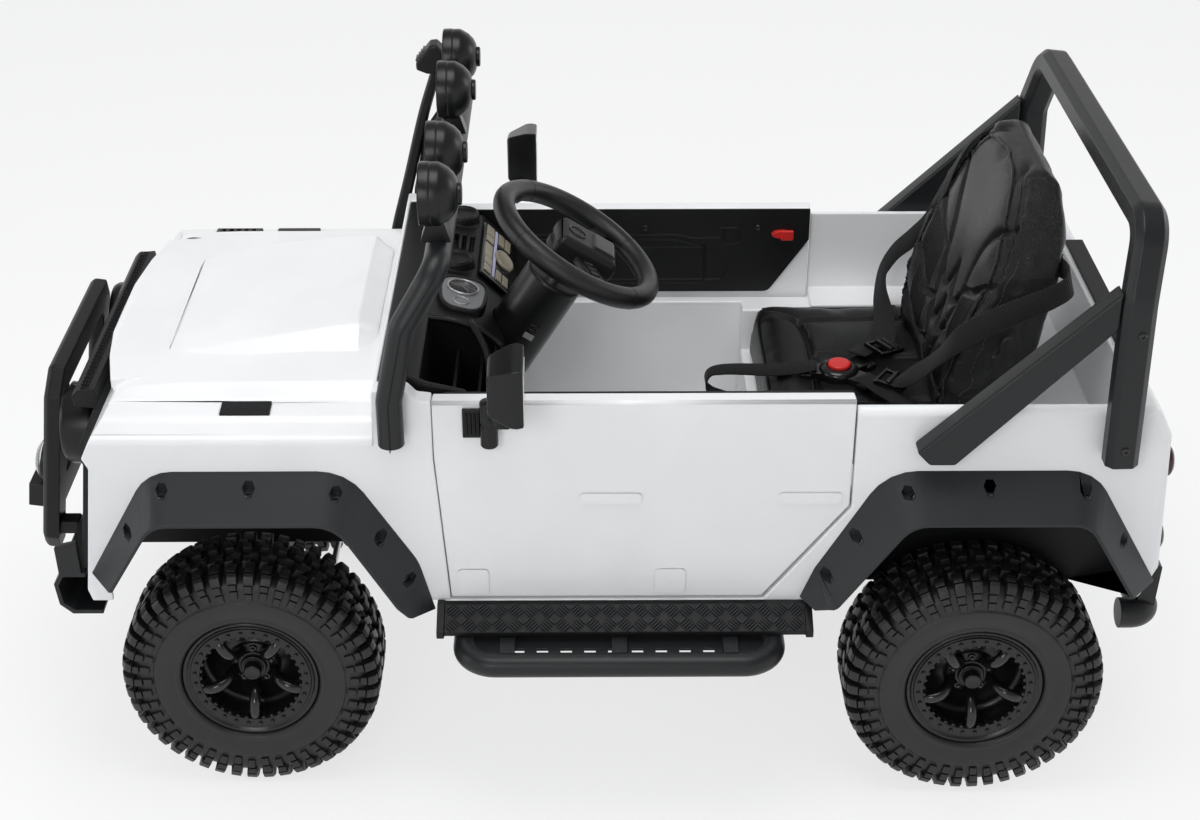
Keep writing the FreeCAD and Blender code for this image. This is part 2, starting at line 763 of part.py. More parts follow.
# Doors: white skin, black inner panel, red latch; built on the left and mirrored
def doors():
    outer = S.body_half
    inner = outer - S.door_skin
    front = S.cowl_rear - S.hinge_seam
    blank = prism("door_skin", "XZ", [
        (front - 12, S.door_bottom), (front, 405), (front, S.belt_line), (-S.door_rear, S.belt_line),
        (-S.door_rear, S.door_kick), (-S.door_bottom_rear, S.door_bottom),
    ], inner, outer)
    round_end_edges(blank, "door_top_edge", lambda p: abs(p.y - float(outer)) < 0.01 and (
        abs(p.z - float(S.belt_line)) < 0.01), 4)
    raised = []
    for number, (low, high, foot, top) in enumerate((
            (-31, 33, 351, 364), (-238, -173, 351, 364), (130, 162, 240, 270), (-78, -46, 240, 270))):
        raised.append(prism("door_pad_%d" % number, "XZ", [
            (low, foot), (high, foot), (high, top), (low, top)],
                            outer, outer + 1.8, [((0, 1, 2, 3), 4)]))
    skin = place(fuse("door_skin_set", blank, *raised), "door_left_skin")
    mirrored(skin, "door_right_skin")
    sheet_panel = prism("door_panel", "XZ", [
        (172, 361), (172, S.belt_line), (-S.door_rear, S.belt_line), (-S.door_rear, 431), (-199, 361),
    ], inner - S.door_panel, inner, [((4,), 12)])
    pocket = prism("door_panel_recess", "XZ", [(40, 378), (40, 420), (-120, 424), (-150, 405), (-140, 378)],
                   inner - S.door_panel - 1, inner - S.door_panel + 1.6)
    panel = place(cut("door_panel_cut", sheet_panel, pocket), "door_left_panel")
    mirrored(panel, "door_right_panel")
    face = inner - S.door_panel
    slide = box("door_latch_slide", (-226, -202), (face - 6, face), (434, 446))
    thumb = box("door_latch_thumb", (-221, -214), (face - 9, face - 6), (436, 444))
    latch = place(fuse("door_latch", slide, thumb), "door_left_latch")
    mirrored(latch, "door_right_latch")


# Door mirrors on pivot brackets
def mirrors():
    base = box("mirror_base", (116, 152), (S.body_half, S.body_half + 4), (432, 466))
    ribs = [box("mirror_rib_%d" % number, (136 + number * 5, 138.5 + number * 5),
                (S.body_half, S.body_half + 6),
                (436, 462)) for number in range(3)]
    pivot = turned("mirror_pivot", [(0, 428), (9, 428), (9, 452), (7.5, 453), (7.5, 456), (9, 457),
                                    (9, 480),
                                    (0, 480)],
                   20, "Z", (124, S.body_half + 12, 0))
    arm = box("mirror_arm", (106, 124), (S.body_half + 10, S.body_half + 34), (460, 474))
    shell = prism("mirror_shell", "XZ", [
        (94, 458), (86, 538), (94, 551), (116, 556), (128, 545), (122, 464), (112, 456),
    ], S.body_half + 22, S.body_half + 76,
        [((0,), 6), ((1,), 10), ((2,), 8), ((3,), 8), ((4,), 8), ((5,), 6), ((6,), 6)])
    left = place(fuse("mirror_set", base, *ribs, pivot, arm, shell), "mirror_left")
    mirrored(left, "mirror_right")


# Tubular windscreen frame, open, with no glass
def windscreen_frame():
    side = S.screen_side
    half = [(223, side, 432), (223, side, 482), (207, side - 6, 560),
            (S.screen_top_x, side - 24, S.screen_top)]
    path = half + [(x, -y, z) for x, y, z in reversed(half)]
    return place(tube("screen_tube", path, 26, S.screen_tube), "windscreen_frame")


def roof_lamps():
    shells = []
    lenses = []
    radius = S.roof_lamp_radius
    for number, y in enumerate((-198, -90, 90, 198)):
        middle = (149, y, S.roof_lamp_z)
        dome = turned("roof_lamp_%d" % number, [
            (0, -2), (10, -2), (11, 3), (radius - 18, 5), (radius - 8, 11), (radius - 1, 23), (radius, 27),
            (radius, 37), (radius - 4, 38), (radius - 4, 32), (0, 32),
        ], 28, "X", middle)
        stem = prism("roof_lamp_stem_%d" % number, "XZ", [
            (158, S.screen_top + 11), (190, S.screen_top + 11), (182, S.roof_lamp_z - 29),
            (164, S.roof_lamp_z - 29),
        ], y - 9, y + 9)
        shells += [dome, stem]
        lenses.append(turned("roof_lens_%d" % number, [
            (0, 32), (radius - 4.3, 32), (radius - 4.3, 35), (radius - 14, 38), (0, 40),
        ], 28, "X", middle))
    body = cut("roof_lamp_set", fuse("roof_lamp_fuse", *shells), screen_negative())
    place(body, "roof_lamps")
    place(fuse("roof_lens_set", *lenses), "roof_lamp_lenses")


def screen_negative():
    return cylinder("screen_bar_space", (S.screen_top_x, -230, S.screen_top), "Y", S.screen_tube, 460)


def snorkel():
    side = -S.body_half - 10 - S.soft_gap
    pipe = tube("snorkel_pipe", [(261, side, 398), (256, side, 500), (222, side, 606),
                                 (212, side, 668)], 40, 10)
    head = prism("snorkel_head", "XZ", [(196, 664), (194, 700), (206, 706), (238, 690), (242, 678),
                                        (226, 664)],
                 side - 16, side + 14)
    return place(fuse("snorkel_set", pipe, head), "snorkel")


# Bull bar and driving lamps
def bull_bar():
    half = S.guard_half
    bevel = 5
    back = prism("guard_back", "YZ", guard_outline(0), 0, S.guard_depth - bevel)
    face = ruled("guard_face", [[(S.guard_depth - bevel, y, z) for y, z in guard_outline(0)],
                                [(S.guard_depth, y, z) for y, z in guard_outline(bevel)]])
    frame = fuse("guard_frame", back, face)
    window = prism("guard_window", "YZ", guard_opening(0), -1, S.guard_depth + 1)
    mouth = ruled("guard_mouth", [[(S.guard_depth - bevel, y, z) for y, z in guard_opening(0)],
                                  [(S.guard_depth + 1, y, z) for y, z in guard_opening(6)]])
    lower = prism("guard_lower", "YZ", [(-half + 34, 200), (half - 34, 200), (half - 34, 262),
                                        (-half + 34, 262)],
                  -1, S.guard_depth + 1)
    guard = cut("guard_cut", frame, window, mouth, lower)
    guard.Placement = guard_lean()
    arms = []
    for hand in (-1, 1):
        low = min(hand * 104, hand * 124)
        arms.append(box("guard_arm_%d" % (hand + 1), (593, 624), (low, low + 20), (234, 250)))
    return place(fuse("guard_set", guard, *arms), "bull_bar")


def guard_outline(inset):
    """The bull bar's outer line, moved in by its bevel."""
    half = S.guard_half - inset
    right = [(half - 12 + inset * 0.44, 212 + inset), (half, 232 + inset * 0.28),
             (half, 412 - inset * 0.34),
             (half - 22 + inset * 0.52, 440 - inset)]
    return right + [(-across, up) for across, up in reversed(right)]


def guard_opening(grow):
    """The window inside the bull bar's legs, wider at the front by its bevel."""
    side = S.guard_half - 34 + grow
    return [(-side, 300 - grow), (side, 300 - grow), (side, 396 + grow / 2), (side - 12, 406 + grow),
            (-side + 12, 406 + grow), (-side, 396 + grow / 2)]


def guard_lean():
    """The bull bar leans back about a line across its foot."""
    foot = Vector(float(S.guard_x), 0, float(S.guard_foot_z))
    lean = Rotation(Vector(0, 1, 0), -float(S.guard_lean))
    return Placement(foot, lean) * Placement(Vector(0, 0, -foot.z), Rotation())


def driving_lamps():
    cases = []
    domes = []
    depth = float(S.guard_depth)
    for hand in (-1, 1):
        y = hand * 64
        tag = str(hand + 1)
        cases.append(box("drive_box_" + tag, (depth, depth + 26), (y - 18, y + 18), (240, 269)))
        cases.append(turned("drive_case_" + tag, [
            (0, depth), (20, depth), (26, depth + 5), (26, depth + 12), (24, depth + 13), (24, depth + 9),
            (0, depth + 9),
        ], 28, "X", (0, y, 294)))
        domes.append(turned("drive_lens_" + tag, [
            (0, depth + 9), (23.7, depth + 9), (22, depth + 15), (14, depth + 20), (0, depth + 22),
        ], 28, "X", (0, y, 294)))
    for pieces, name, node in ((cases, "drive_box_set", "driving_lamps"),
                               (domes, "drive_lens_set", "driving_lamp_lenses")):
        lamp = fuse(name, *pieces)
        lamp.Placement = guard_lean()
        primitive_x[lamp.Name] = Dim(lamp.Placement.Base.x - float(S.guard_x), "(%.6f)" % (
            lamp.Placement.Base.x - float(S.guard_x))) + S.guard_x
        place(lamp, node)


# Bumpers
def front_bumper():
    foot = S.nose_foot_x - S.frame_setback + S.soft_gap
    channel = prism("bumper_channel", "XZ", [
        (558, 257), (582, 257), (588, 246), (585, 224), (574, 215), (foot, 215), (foot, 210), (577, 210),
        (590, 222), (593, 248), (585, 262), (558, 262),
    ], -S.body_half + 6, S.body_half - 6)
    outer = S.body_half - 6
    gusset = prism("bumper_gusset", "XZ", [(562, 260), (586, 260), (587, 294), (563, 300)], outer - 8,
                   outer)
    return place(fuse("bumper_set", channel, gusset, flip("bumper_gusset_right", gusset)), "front_bumper")


def rear_bumper():
    bar = tube("rear_bumper_bar", [(-546, 240, 204), (-576, 240, 204), (-576, -240, 204),
                                   (-546, -240, 204)],
               18, 16.5)
    bracket = prism("rear_bumper_bracket", "XZ", [
        (-S.tail_x - 11, 210), (-S.tail_x + 7, 210), (-S.tail_x + 8 - S.soft_gap, 227 - S.soft_gap),
        (-S.tail_foot_x - S.soft_gap, 266), (-S.tail_foot_x - 6, 262),
    ], 224, 240)
    return place(fuse("rear_bumper_set", bar, bracket, flip("rear_bracket_right", bracket)), "rear_bumper")


# Side steps: chequer strip, tube and brackets
def steps():
    edge = S.body_half
    strip = prism("step_plate", "YZ", [
        (edge + 0, 214), (edge + 0, 230), (edge + 8, 230), (edge + 36, 214),
        (edge + 36, 209), (edge + 6, 209),
    ], -205, 177)
    caps = [prism("step_cap_%d" % number, "YZ", [
        (edge + 0, 212), (edge + 0, 231.5), (edge + 9, 231.5), (edge + 38, 215),
        (edge + 38, 207), (edge + 6, 207),
    ], low, low + 8) for number, low in enumerate((-213, 177))]
    plate = fuse("step_plate_left", strip, *caps)
    place(fuse("step_plate_pair", plate, flip("step_plate_twin", plate)), "step_plates")
    rail = tube("step_rail", [
        (155, edge - 25, 196), (155, edge + 70, 196), (-171, edge + 70, 196), (-171, edge - 25, 196),
    ], 34, 12.5)
    brackets = []
    for number, x in enumerate((-125, -8, 110)):
        brackets.append(box("step_bracket_%d" % number, (x - 8, x + 8), (edge - 25, edge + 62), (196, 207)))
    slots = [box("step_slot_%d" % number, (x - 6, x + 6), (edge + 48, edge + 54), (190, 210))
             for number, x in enumerate(range(-102, 99, 25))]
    web = cut("step_web", box("step_web_blank", (-160, 144), (edge - 20, edge + 60), (198, 201)), *slots)
    left = fuse("step_rail_set", rail, web, *brackets)
    place(fuse("step_rail_pair", left, flip("step_rail_twin", left)), "step_tubes")


# Roll hoop and its braces
def roll_hoop():
    side = S.hoop_side
    shoulder = S.hoop_top - 70
    half = [(-S.hoop_x, side, S.rear_rim - 53), (-S.hoop_x + 4, side, shoulder),
            (-S.hoop_x - 6, side - 28, S.hoop_top)]
    path = half + [(x, -y, z) for x, y, z in reversed(half)]
    section = eight_sided(S.hoop_depth, S.hoop_width, S.hoop_edge)
    hoop = bar("hoop_tube", path, 34, section, Vector(1, 0, 0))
    place(hoop, "roll_hoop")
    face = -S.hoop_x + 4 + S.hoop_depth / 2 + S.soft_gap
    foot = S.rear_rim - 53
    outline = [(face, shoulder - 27), (face, shoulder + 13), (-308, foot + 15), (-322, foot), (-348, foot)]
    brace = prism("brace_bar", "XZ", outline, S.body_half, S.body_half + 24)
    place(fuse("brace_pair", brace, flip("brace_twin", brace)), "hoop_braces")


# Seat: cushion and back as plain closed solids, harness and buckle
def seat():
    half = S.arch_inner - S.shell_wall + 1 - 3
    deck = S.seat_deck + S.soft_gap
    cushion = prism("cushion_block", "XZ", [
        (-S.seat_rear + 2, deck), (-S.seat_rear + 2, S.load_deck), (-190, S.load_deck),
        (-176, S.load_deck - 12), (-171, deck),
    ], -half, half, [((2,), 10), ((3,), 10)])
    place(cushion, "seat_cushion")
    foot = S.load_deck + S.soft_gap
    profile = prism("back_profile", "XZ", [
        (-355, foot), (-432, foot), (-470, 600), (-468, 660), (-452, 674), (-430, 668),
        (-398, 560), (-364, 430),
    ], -160, 160, [((3, 4, 5), 8)])
    face = prism("back_face", "YZ", [
        (-140, 350), (-158, 430), (-152, 560), (-120, 625), (-82, 668), (-60, 680),
        (60, 680), (82, 668), (120, 625), (152, 560), (158, 430), (140, 350),
    ], -480, -340)
    place(common("back_block", profile, face), "seat_back")


def strap(name, start, end, width, thickness):
    """A flat band between two points, its width across the line and level with the floor."""
    a = Vector(*start)
    b = Vector(*end)
    along = (b - a).normalize()
    across = along.cross(Vector(0, 0, 1)).normalize()
    normal = across.cross(along).normalize()
    corners = []
    for point in (a, b):
        corners.append([point + across * (width / 2), point - across * (width / 2),
                        point - across * (width / 2) + normal * thickness,
                        point + across * (width / 2) + normal * thickness])
    return ruled(name, [[tuple(v) for v in ring] for ring in corners])


def harness():
    bands = []
    lap = float(S.load_deck + S.soft_gap)
    for hand in (-1, 1):
        bands.append(strap("shoulder_band_%d" % (hand + 1), (-388, hand * 118, 556),
                           (-279, hand * 21, 371), 25, 2))
        bands.append(strap("lap_band_%d" % (hand + 1), (-262, hand * 22.4, lap),
                           (-262, hand * 172, lap), 25, 2))
    bands.append(strap("crotch_band", (-239.6, 0, lap), (-184, 0, lap), 25, 2))
    place(fuse("harness_set", *bands), "harness_straps")
    housing = cylinder("buckle_housing", (-262, 0, S.load_deck + S.soft_gap), "Z", 22, 15)
    button = cylinder("buckle_button", (-262, 0, S.load_deck + S.soft_gap + 15), "Z", 11, 6)
    place(fuse("buckle_set", housing, button), "harness_buckle")


# Dashboard, column and steering wheel
def dashboard():
    half = S.inner_sill_outer - 4
    shape = prism("dash_block", "XZ", [
        (S.cowl_front - S.shell_wall, 360), (S.cowl_front - S.shell_wall, 486), (206, 486),
        (190, 478),
        (150, 468),
        (118, 436), (110, 400), (126, 372), (150, 360),
    ], -half, half)
    column = cylinder("dash_column_space", column_point(-190), column_axis(), 34.3, 160)
    left_bin = box("dash_bin_left", (126, 196), (70, half - 8), (384, 500))
    slots = [box("dash_slot_%d" % number, (158 + number * 9, 162.5 + number * 9), (-156, -112), (464, 490))
             for number in range(4)]
    face = cut("dash_cut", shape, left_bin, column, *slots)
    vents = [turned("dash_vent_%d" % number, [(0, 466), (22, 466), (22, 482), (19, 484), (17, 480),
                                              (0, 480)], 24, "Z",
                    (176, y, 0)) for number, y in enumerate((-196, -72))]
    place(fuse("dash_set", face, *vents), "dashboard")
    radio = prism("radio_plate", "XZ", [(147, 465.3), (121, 439.3), (117, 443), (143, 469)], -192, -56)
    place(radio, "dash_radio")
    pedal = prism("pedal_plate", "XZ", [(196, 220.3), (204, 220.3), (190, 300), (182, 300)], -140, -92)
    place(pedal, "foot_pedal")


def column_axis():
    tilt = math.radians(float(S.wheel_tilt))
    return Vector(-math.sin(tilt), 0, math.cos(tilt))


def column_point(distance):
    """A point on the column's line, measured up from the steering wheel's centre."""
    axis = column_axis()
    return (S.steering_x + axis.x * distance, 0, S.steering_z + axis.z * distance)


def column():
    cover = cylinder("column_tube", column_point(-178), column_axis(), 34, 132)
    bore = cylinder("column_bore", column_point(-100), column_axis(), S.axle_radius + 2 + S.running_fit, 60)
    place(cut("column_cut", cover, bore), "column_cover")
    shaft = cylinder("steering_shaft_rod", column_point(-96), column_axis(), S.axle_radius + 2, 76)
    place(shaft, "steering_shaft")
    turn = Rotation(Vector(0, 0, 1), column_axis())
    grip = []
    for step in range(10):
        angle = 2 * math.pi * step / 10
        grip.append((S.steering_ring + S.steering_rim * math.cos(angle), S.steering_rim * math.sin(angle)))
    ring = turned("steering_ring", grip, 40, "Z")
    ring.Placement = Placement(Vector(0, 0, 0), turn)
    for path, size in zip("xyz", column_point(0)):
        bind(ring, "Placement.Base." + path, size)
    hub = cylinder("steering_hub", column_point(-20), column_axis(), 30, 16)
    pad = doc.addObject("Part::Box", "steering_pad")
    pad.Length = 52
    pad.Width = 58
    pad.Height = 14
    pad.Placement = (Placement(Vector(*(float(size) for size in column_point(0))), turn)
                     * Placement(Vector(-26, -29, -9), Rotation()))
    spokes = []
    for number, angle in enumerate((0, 90, 180)):
        spoke = doc.addObject("Part::Box", "steering_spoke_%d" % number)
        spoke.Length = 88
        spoke.Width = 20
        spoke.Height = 9
        spoke.Placement = (Placement(Vector(*(float(size) for size in column_point(0))), turn)
                           * Placement(Vector(0, 0, 0), Rotation(Vector(0, 0, 1), angle + 90))
                           * Placement(Vector(0, -10, -10), Rotation()))
        spokes.append(spoke)
    place(fuse("steering_wheel_set", ring, hub, pad, *spokes), "steering_wheel")


# Front axle, knuckles and tie rod
def front_axle():
    x = front_axle_x
    z = axle_z
    king = S.kingpin_y
    pieces = [box("axle_beam", (x - 12, x + 12), (-king + 32, king - 32), (z - 14, z + 14))]
    for hand in (-1, 1):
        tag = "right" if hand < 0 else "left"
        low = king - 46 if hand > 0 else -king - 12
        high = king + 12 if hand > 0 else -king + 46
        wall_low = king - 46 if hand > 0 else -king + 32
        pieces.append(box("axle_ear_top_" + tag, (x - 10, x + 10), (low, high), (z + 20, z + 28)))
        pieces.append(box("axle_ear_low_" + tag, (x - 10, x + 10), (low, high), (z - 28, z - 20)))
        pieces.append(box("axle_ear_wall_" + tag, (x - 10, x + 10), (wall_low, wall_low + 14),
                          (z - 28, z + 28)))
        pieces.append(cylinder("kingpin_" + tag, (x, king * hand, z - 30), "Z", S.kingpin_radius, 60))
    pieces.append(box("axle_mount", (x - 15, x + 15), (-45, 45), (z + 14, 200)))
    place(fuse("front_axle_set", *pieces), "front_axle")
    boss = cylinder("knuckle_boss", (x, king, z - 19.5), "Z", 13, 39)
    bore = cylinder("knuckle_bore", (x, king, z - 25), "Z", S.kingpin_radius + S.running_fit, 50)
    stub = cylinder("knuckle_stub", (x, king + 8, z), "Y", S.axle_radius, 46)
    arm = prism("knuckle_arm", "XY", [
        (x, king - 8), (x, king + 4), (x - S.steer_arm, king - S.steer_arm_in + 7),
        (x - S.steer_arm - 7, king - S.steer_arm_in), (x - S.steer_arm, king - S.steer_arm_in - 7),
    ], z - 19, z - 10)
    left = place(cut("knuckle_cut", fuse("knuckle_set", boss, stub, arm), bore), "knuckle_left")
    mirrored(left, "knuckle_right")
    rod_y = king - S.steer_arm_in
    rod = cylinder("tie_bar", (x - S.steer_arm, -rod_y, z - 25), "Y", 4, rod_y * 2)
    eyes = [cylinder("tie_eye_%d" % (hand + 1), (x - S.steer_arm, rod_y * hand, z - 30), "Z", 8, 10.5)
            for hand in (-1, 1)]
    place(fuse("tie_rod_set", rod, *eyes), "tie_rod")


def chassis():
    front = box("front_frame_block", (S.cowl_front, S.nose_foot_x - S.frame_setback), (-90, 90),
                (200, S.sill_top + 14))
    place(front, "front_subframe")
    cover = box("belly_plate", (-S.seat_rear + 2, -S.seat_front + 2), (-170, 170),
                (S.sill_bottom - 5, S.sill_bottom))
    place(cover, "belly_plate")
    battery = box("battery_block", (-320, -200), (-60, 60), (S.sill_bottom, 294))
    place(battery, "battery")
    x = rear_axle_x
    z = axle_z
    shaft = cylinder("rear_axle_rod", (x, -S.rear_track_half - 6, z), "Y", S.axle_radius,
                     S.rear_track_half * 2 + 12)
    place(shaft, "rear_axle")
    pieces = []
    for hand in (-1, 1):
        low = 120 if hand > 0 else -176
        bore = cylinder("gear_bore_%d" % (hand + 1), (x, low - 1, z), "Y", S.axle_radius, 58)
        case = box("gear_case_%d" % (hand + 1), (x - 38, x + 38), (low, low + 56),
                   (z - 34, S.sill_bottom - 5))
        pieces.append(cut("gear_cut_%d" % (hand + 1), case, bore))
    place(fuse("gearbox_set", *pieces), "gearboxes")


def rear_details():
    lamps = []
    for hand in (-1, 1):
        for number, (up, radius, at) in enumerate(((375, 17, -580), (282, 16, -582), (250, 12, -581))):
            lamps.append(turned("tail_lamp_%d_%d" % (hand + 1, number), [
                (0, at - 9), (radius - 4, at - 9), (radius, at - 6), (radius, at + 4), (0, at + 4),
            ], 20, "X", (0, hand * 205, up)))
    place(cut("tail_lamp_set", fuse("tail_lamp_fuse", *lamps), tail_negative()), "tail_lamps")
    strip = box("tailgate_strip", (-S.tail_x + 11, -S.load_rear - 6), (-151, 151),
                (S.rear_rim, S.rear_rim + 4))
    place(strip, "tailgate_trim")


def tail_negative():
    return prism("tail_wall", "XZ", [
        (-500, 227), (-S.tail_x + 8, 227), (-S.tail_foot_x, 266), (-S.tail_x, S.rear_rim - 34),
        (-500, S.rear_rim - 34),
    ], -S.body_half, S.body_half)


# Wheels: tyre and rim, turned about the axle's line
def tread_ring(radius, dip, station, dip_station, lugs):
    """Three points a lug: its two edges, and the groove beside it, which lies deeper by dip."""
    result = []
    for lug in range(lugs):
        for share, deep in ((0, 0), (0.68, 0), (0.84, 1)):
            angle = 2 * math.pi * (lug + share) / lugs
            reach = float(radius) - deep * float(dip)
            along = float(station) if not deep else float(dip_station)
            result.append(Vector(reach * math.sin(angle), along, reach * math.cos(angle)))
    return result


def shoulder_ring(radius, dip, station, dip_station, lugs, longer):
    """The tread ring's lower edge, every other lug reaching further down the sidewall."""
    result = []
    for number, point in enumerate(tread_ring(radius, dip, station, dip_station, lugs)):
        lug = number // 3
        if lug % 2 and number % 3 < 2:
            scale = 1 - float(longer) / float(radius)
            point = Vector(point.x * scale, point.y, point.z * scale)
        result.append(point)
    return result


def side_ring(radius, station, lugs):
    """One point a lug, in line with the lug's first edge."""
    return ring_points(radius, station, lugs)


def wheel(end, x, y):
    half = S.tyre_width / 2
    top = S.tyre_radius
    bead = S.bead_radius
    lugs = int(float(S.lug_count))
    bore = float(bead) / math.cos(math.pi / lugs) + 0.1
    rings = []
    for hand in (-1, 1):
        side = [
            side_ring(bore, hand * (half - 8), lugs), side_ring(bead + 9, hand * (half - 2), lugs),
            side_ring(bead + 31.5, hand * half, lugs),
            shoulder_ring(top - 19, S.lug_depth - 4, hand * (half - 0.5), hand * (half - 3), lugs, 7),
            tread_ring(top, S.lug_depth, hand * (half - 13), hand * (half - 13), lugs),
        ]
        rings += side if hand < 0 else list(reversed(side))
    tyre = faceted("tyre_%s" % end, rings)
    tyre.Label = "tyre_%s_left" % end
    centre = (x - S.origin_shift, y, axle_z)
    for path, size in zip("xyz", centre):
        bind(tyre, "Placement.Base." + path, size)
    parts[tyre.Label] = tyre
    mirrored(tyre, "tyre_%s_right" % end)
    seat = bead - S.soft_gap
    hole = (S.axle_radius + S.running_fit) / math.cos(math.pi / 36)
    hub = 26
    disc = turned("rim_disc_%s" % end, [
        (hole, -18), (20, -18), (20, -10), (seat - 6, -10), (seat - 6, -half + 10), (seat, -half + 10),
        (seat, half - 8), (seat - 3, half - 6), (seat - 18, half - 6),
        (seat - 21, half - 12), (seat - 8, half - 18),
        (seat - 6.7, -4), (hub, -4), (hub, 12), (hub - 7, 14), (13, 14), (13, 24), (9, 25), (9, 32),
        (0, 32),
        (0, 14), (hole, 14),
    ], 36)
    spokes = []
    for number in range(int(float(S.spoke_count))):
        turn = 360 * number / float(S.spoke_count)
        for part, (outer_end, inner_end) in enumerate((((seat - 14, half - 13), (42, half - 16)),
                                                       ((43, half - 15), (hub - 7, 9)))):
            outer_point = Vector(0, float(outer_end[1]), float(outer_end[0]))
            inner_point = Vector(0, float(inner_end[1]), float(inner_end[0]))
            rod = doc.addObject("Part::Prism", "rim_spoke_%s_%d_%d" % (end, number, part))
            rod.Polygon = 8
            rod.Circumradius = 6.2
            rod.Height = (inner_point - outer_point).Length
            rod.Placement = (Placement(Vector(0, 0, 0), Rotation(Vector(0, 1, 0), turn))
                             * Placement(outer_point, Rotation(Vector(0, 0, 1), inner_point - outer_point)))
            spokes.append(rod)
    rim = fuse("rim_%s" % end, disc, *spokes)
    rim.Label = "rim_%s_left" % end
    for path, size in zip("xyz", centre):
        bind(rim, "Placement.Base." + path, size)
    parts[rim.Label] = rim
    mirrored(rim, "rim_%s_right" % end)


body_tub()
front_shell()
wing_vents()
grille_panel()
headlamps()
flares()
arch_liners()
doors()
mirrors()
windscreen_frame()
roof_lamps()
snorkel()
bull_bar()
driving_lamps()
front_bumper()
rear_bumper()
steps()
roll_hoop()
seat()
harness()
dashboard()
column()
front_axle()
chassis()
rear_details()
wheel("front", front_axle_x, S.front_track_half)
wheel("rear", rear_axle_x, S.rear_track_half)

doc.recompute()
faults = []
for item in doc.Objects:
    if "Invalid" in item.State or "Error" in item.State:
        faults.append("%s: %s" % (item.Name, item.State))
for node, item in parts.items():
    if item.Shape.isNull() or not item.Shape.isValid():
        faults.append("%s: shape is null or not valid" % node)
if faults:
    raise SystemExit("\n".join(faults))
for node, item in sorted(parts.items()):
    item.Shape.exportStep("parts/%s.step" % node)
    bounds = item.Shape.BoundBox
    print("%-22s solids %d volume %9.1f cm3  x %.1f %.1f  y %.1f %.1f  z %.1f %.1f" % (
        node, len(item.Shape.Solids), item.Shape.Volume / 1000, bounds.XMin, bounds.XMax,
        bounds.YMin, bounds.YMax, bounds.ZMin, bounds.ZMax))
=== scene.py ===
import json
import math

import bmesh
import bpy
from mathutils import Matrix, Vector
from mathutils.bvhtree import BVHTree

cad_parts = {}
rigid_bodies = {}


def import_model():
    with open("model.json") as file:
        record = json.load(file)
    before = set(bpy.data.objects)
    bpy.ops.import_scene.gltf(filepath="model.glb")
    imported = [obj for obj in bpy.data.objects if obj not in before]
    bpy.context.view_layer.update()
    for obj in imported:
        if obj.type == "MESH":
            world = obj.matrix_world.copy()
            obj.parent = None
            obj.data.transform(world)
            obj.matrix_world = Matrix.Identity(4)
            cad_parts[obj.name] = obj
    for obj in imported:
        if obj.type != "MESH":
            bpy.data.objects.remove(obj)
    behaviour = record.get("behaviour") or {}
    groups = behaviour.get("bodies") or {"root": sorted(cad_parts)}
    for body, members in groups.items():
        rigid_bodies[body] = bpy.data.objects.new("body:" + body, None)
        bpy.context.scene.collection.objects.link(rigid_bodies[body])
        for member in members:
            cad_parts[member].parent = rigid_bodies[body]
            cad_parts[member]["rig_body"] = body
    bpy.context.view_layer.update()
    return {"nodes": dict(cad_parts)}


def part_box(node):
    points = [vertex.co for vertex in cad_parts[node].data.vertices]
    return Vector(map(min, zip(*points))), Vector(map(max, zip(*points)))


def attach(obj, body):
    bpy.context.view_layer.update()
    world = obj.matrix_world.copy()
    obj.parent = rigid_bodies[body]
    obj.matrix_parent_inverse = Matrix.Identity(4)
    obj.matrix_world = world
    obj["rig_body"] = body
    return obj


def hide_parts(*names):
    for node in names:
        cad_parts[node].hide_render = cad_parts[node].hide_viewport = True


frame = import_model()
NODES = frame["nodes"]

# Ride-on electric toy 4x4. Metres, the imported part's own frame: +X forward, +Y left, +Z up.
SHIFT = 0.0335  # X in the part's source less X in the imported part
TYRE_RADIUS = 0.140
SIDES = (("left", 1), ("right", -1))
WELD = 0.00002  # points closer than this are one
FINE_WELD = 0.000005


# Node tools
class Field:
    """A value in a node tree. Arithmetic on it adds the Math nodes that work it out."""

    def __init__(self, nodes, socket):
        self.nodes = nodes
        self.socket = socket

    def maths(self, operation, *others):
        return self.nodes.maths(operation, self, *others)

    def __add__(self, other):
        return self.maths("ADD", other)

    def __mul__(self, other):
        return self.maths("MULTIPLY", other)

    def __rsub__(self, other):
        return self.nodes.maths("SUBTRACT", other, self)

    def __truediv__(self, other):
        return self.maths("DIVIDE", other)


class Nodes:
    """A node tree being written, for a material or for a shape."""

    def add(self, kind, settings=None, sockets=None, output=0):
        """A node with its settings made first, then its sockets valued or linked."""
        node = self.tree.nodes.new(kind)
        for key, value in (settings or {}).items():
            setattr(node, key, value)
        for key, value in (sockets or {}).items():
            self.join(node.inputs[key], value)
        return Field(self, node.outputs[output])

    def join(self, socket, value):
        if isinstance(value, Field):
            self.tree.links.new(value.socket, socket)
        elif value is not None:
            socket.default_value = value

    def maths(self, operation, *values):
        return self.add("ShaderNodeMath", {"operation": operation}, dict(enumerate(values)))

    def vector(self, operation, *values):
        return self.add("ShaderNodeVectorMath", {"operation": operation}, dict(enumerate(values)))

    def scaled(self, value, factor):
        return self.add("ShaderNodeVectorMath", {"operation": "SCALE"}, {0: value, "Scale": factor})


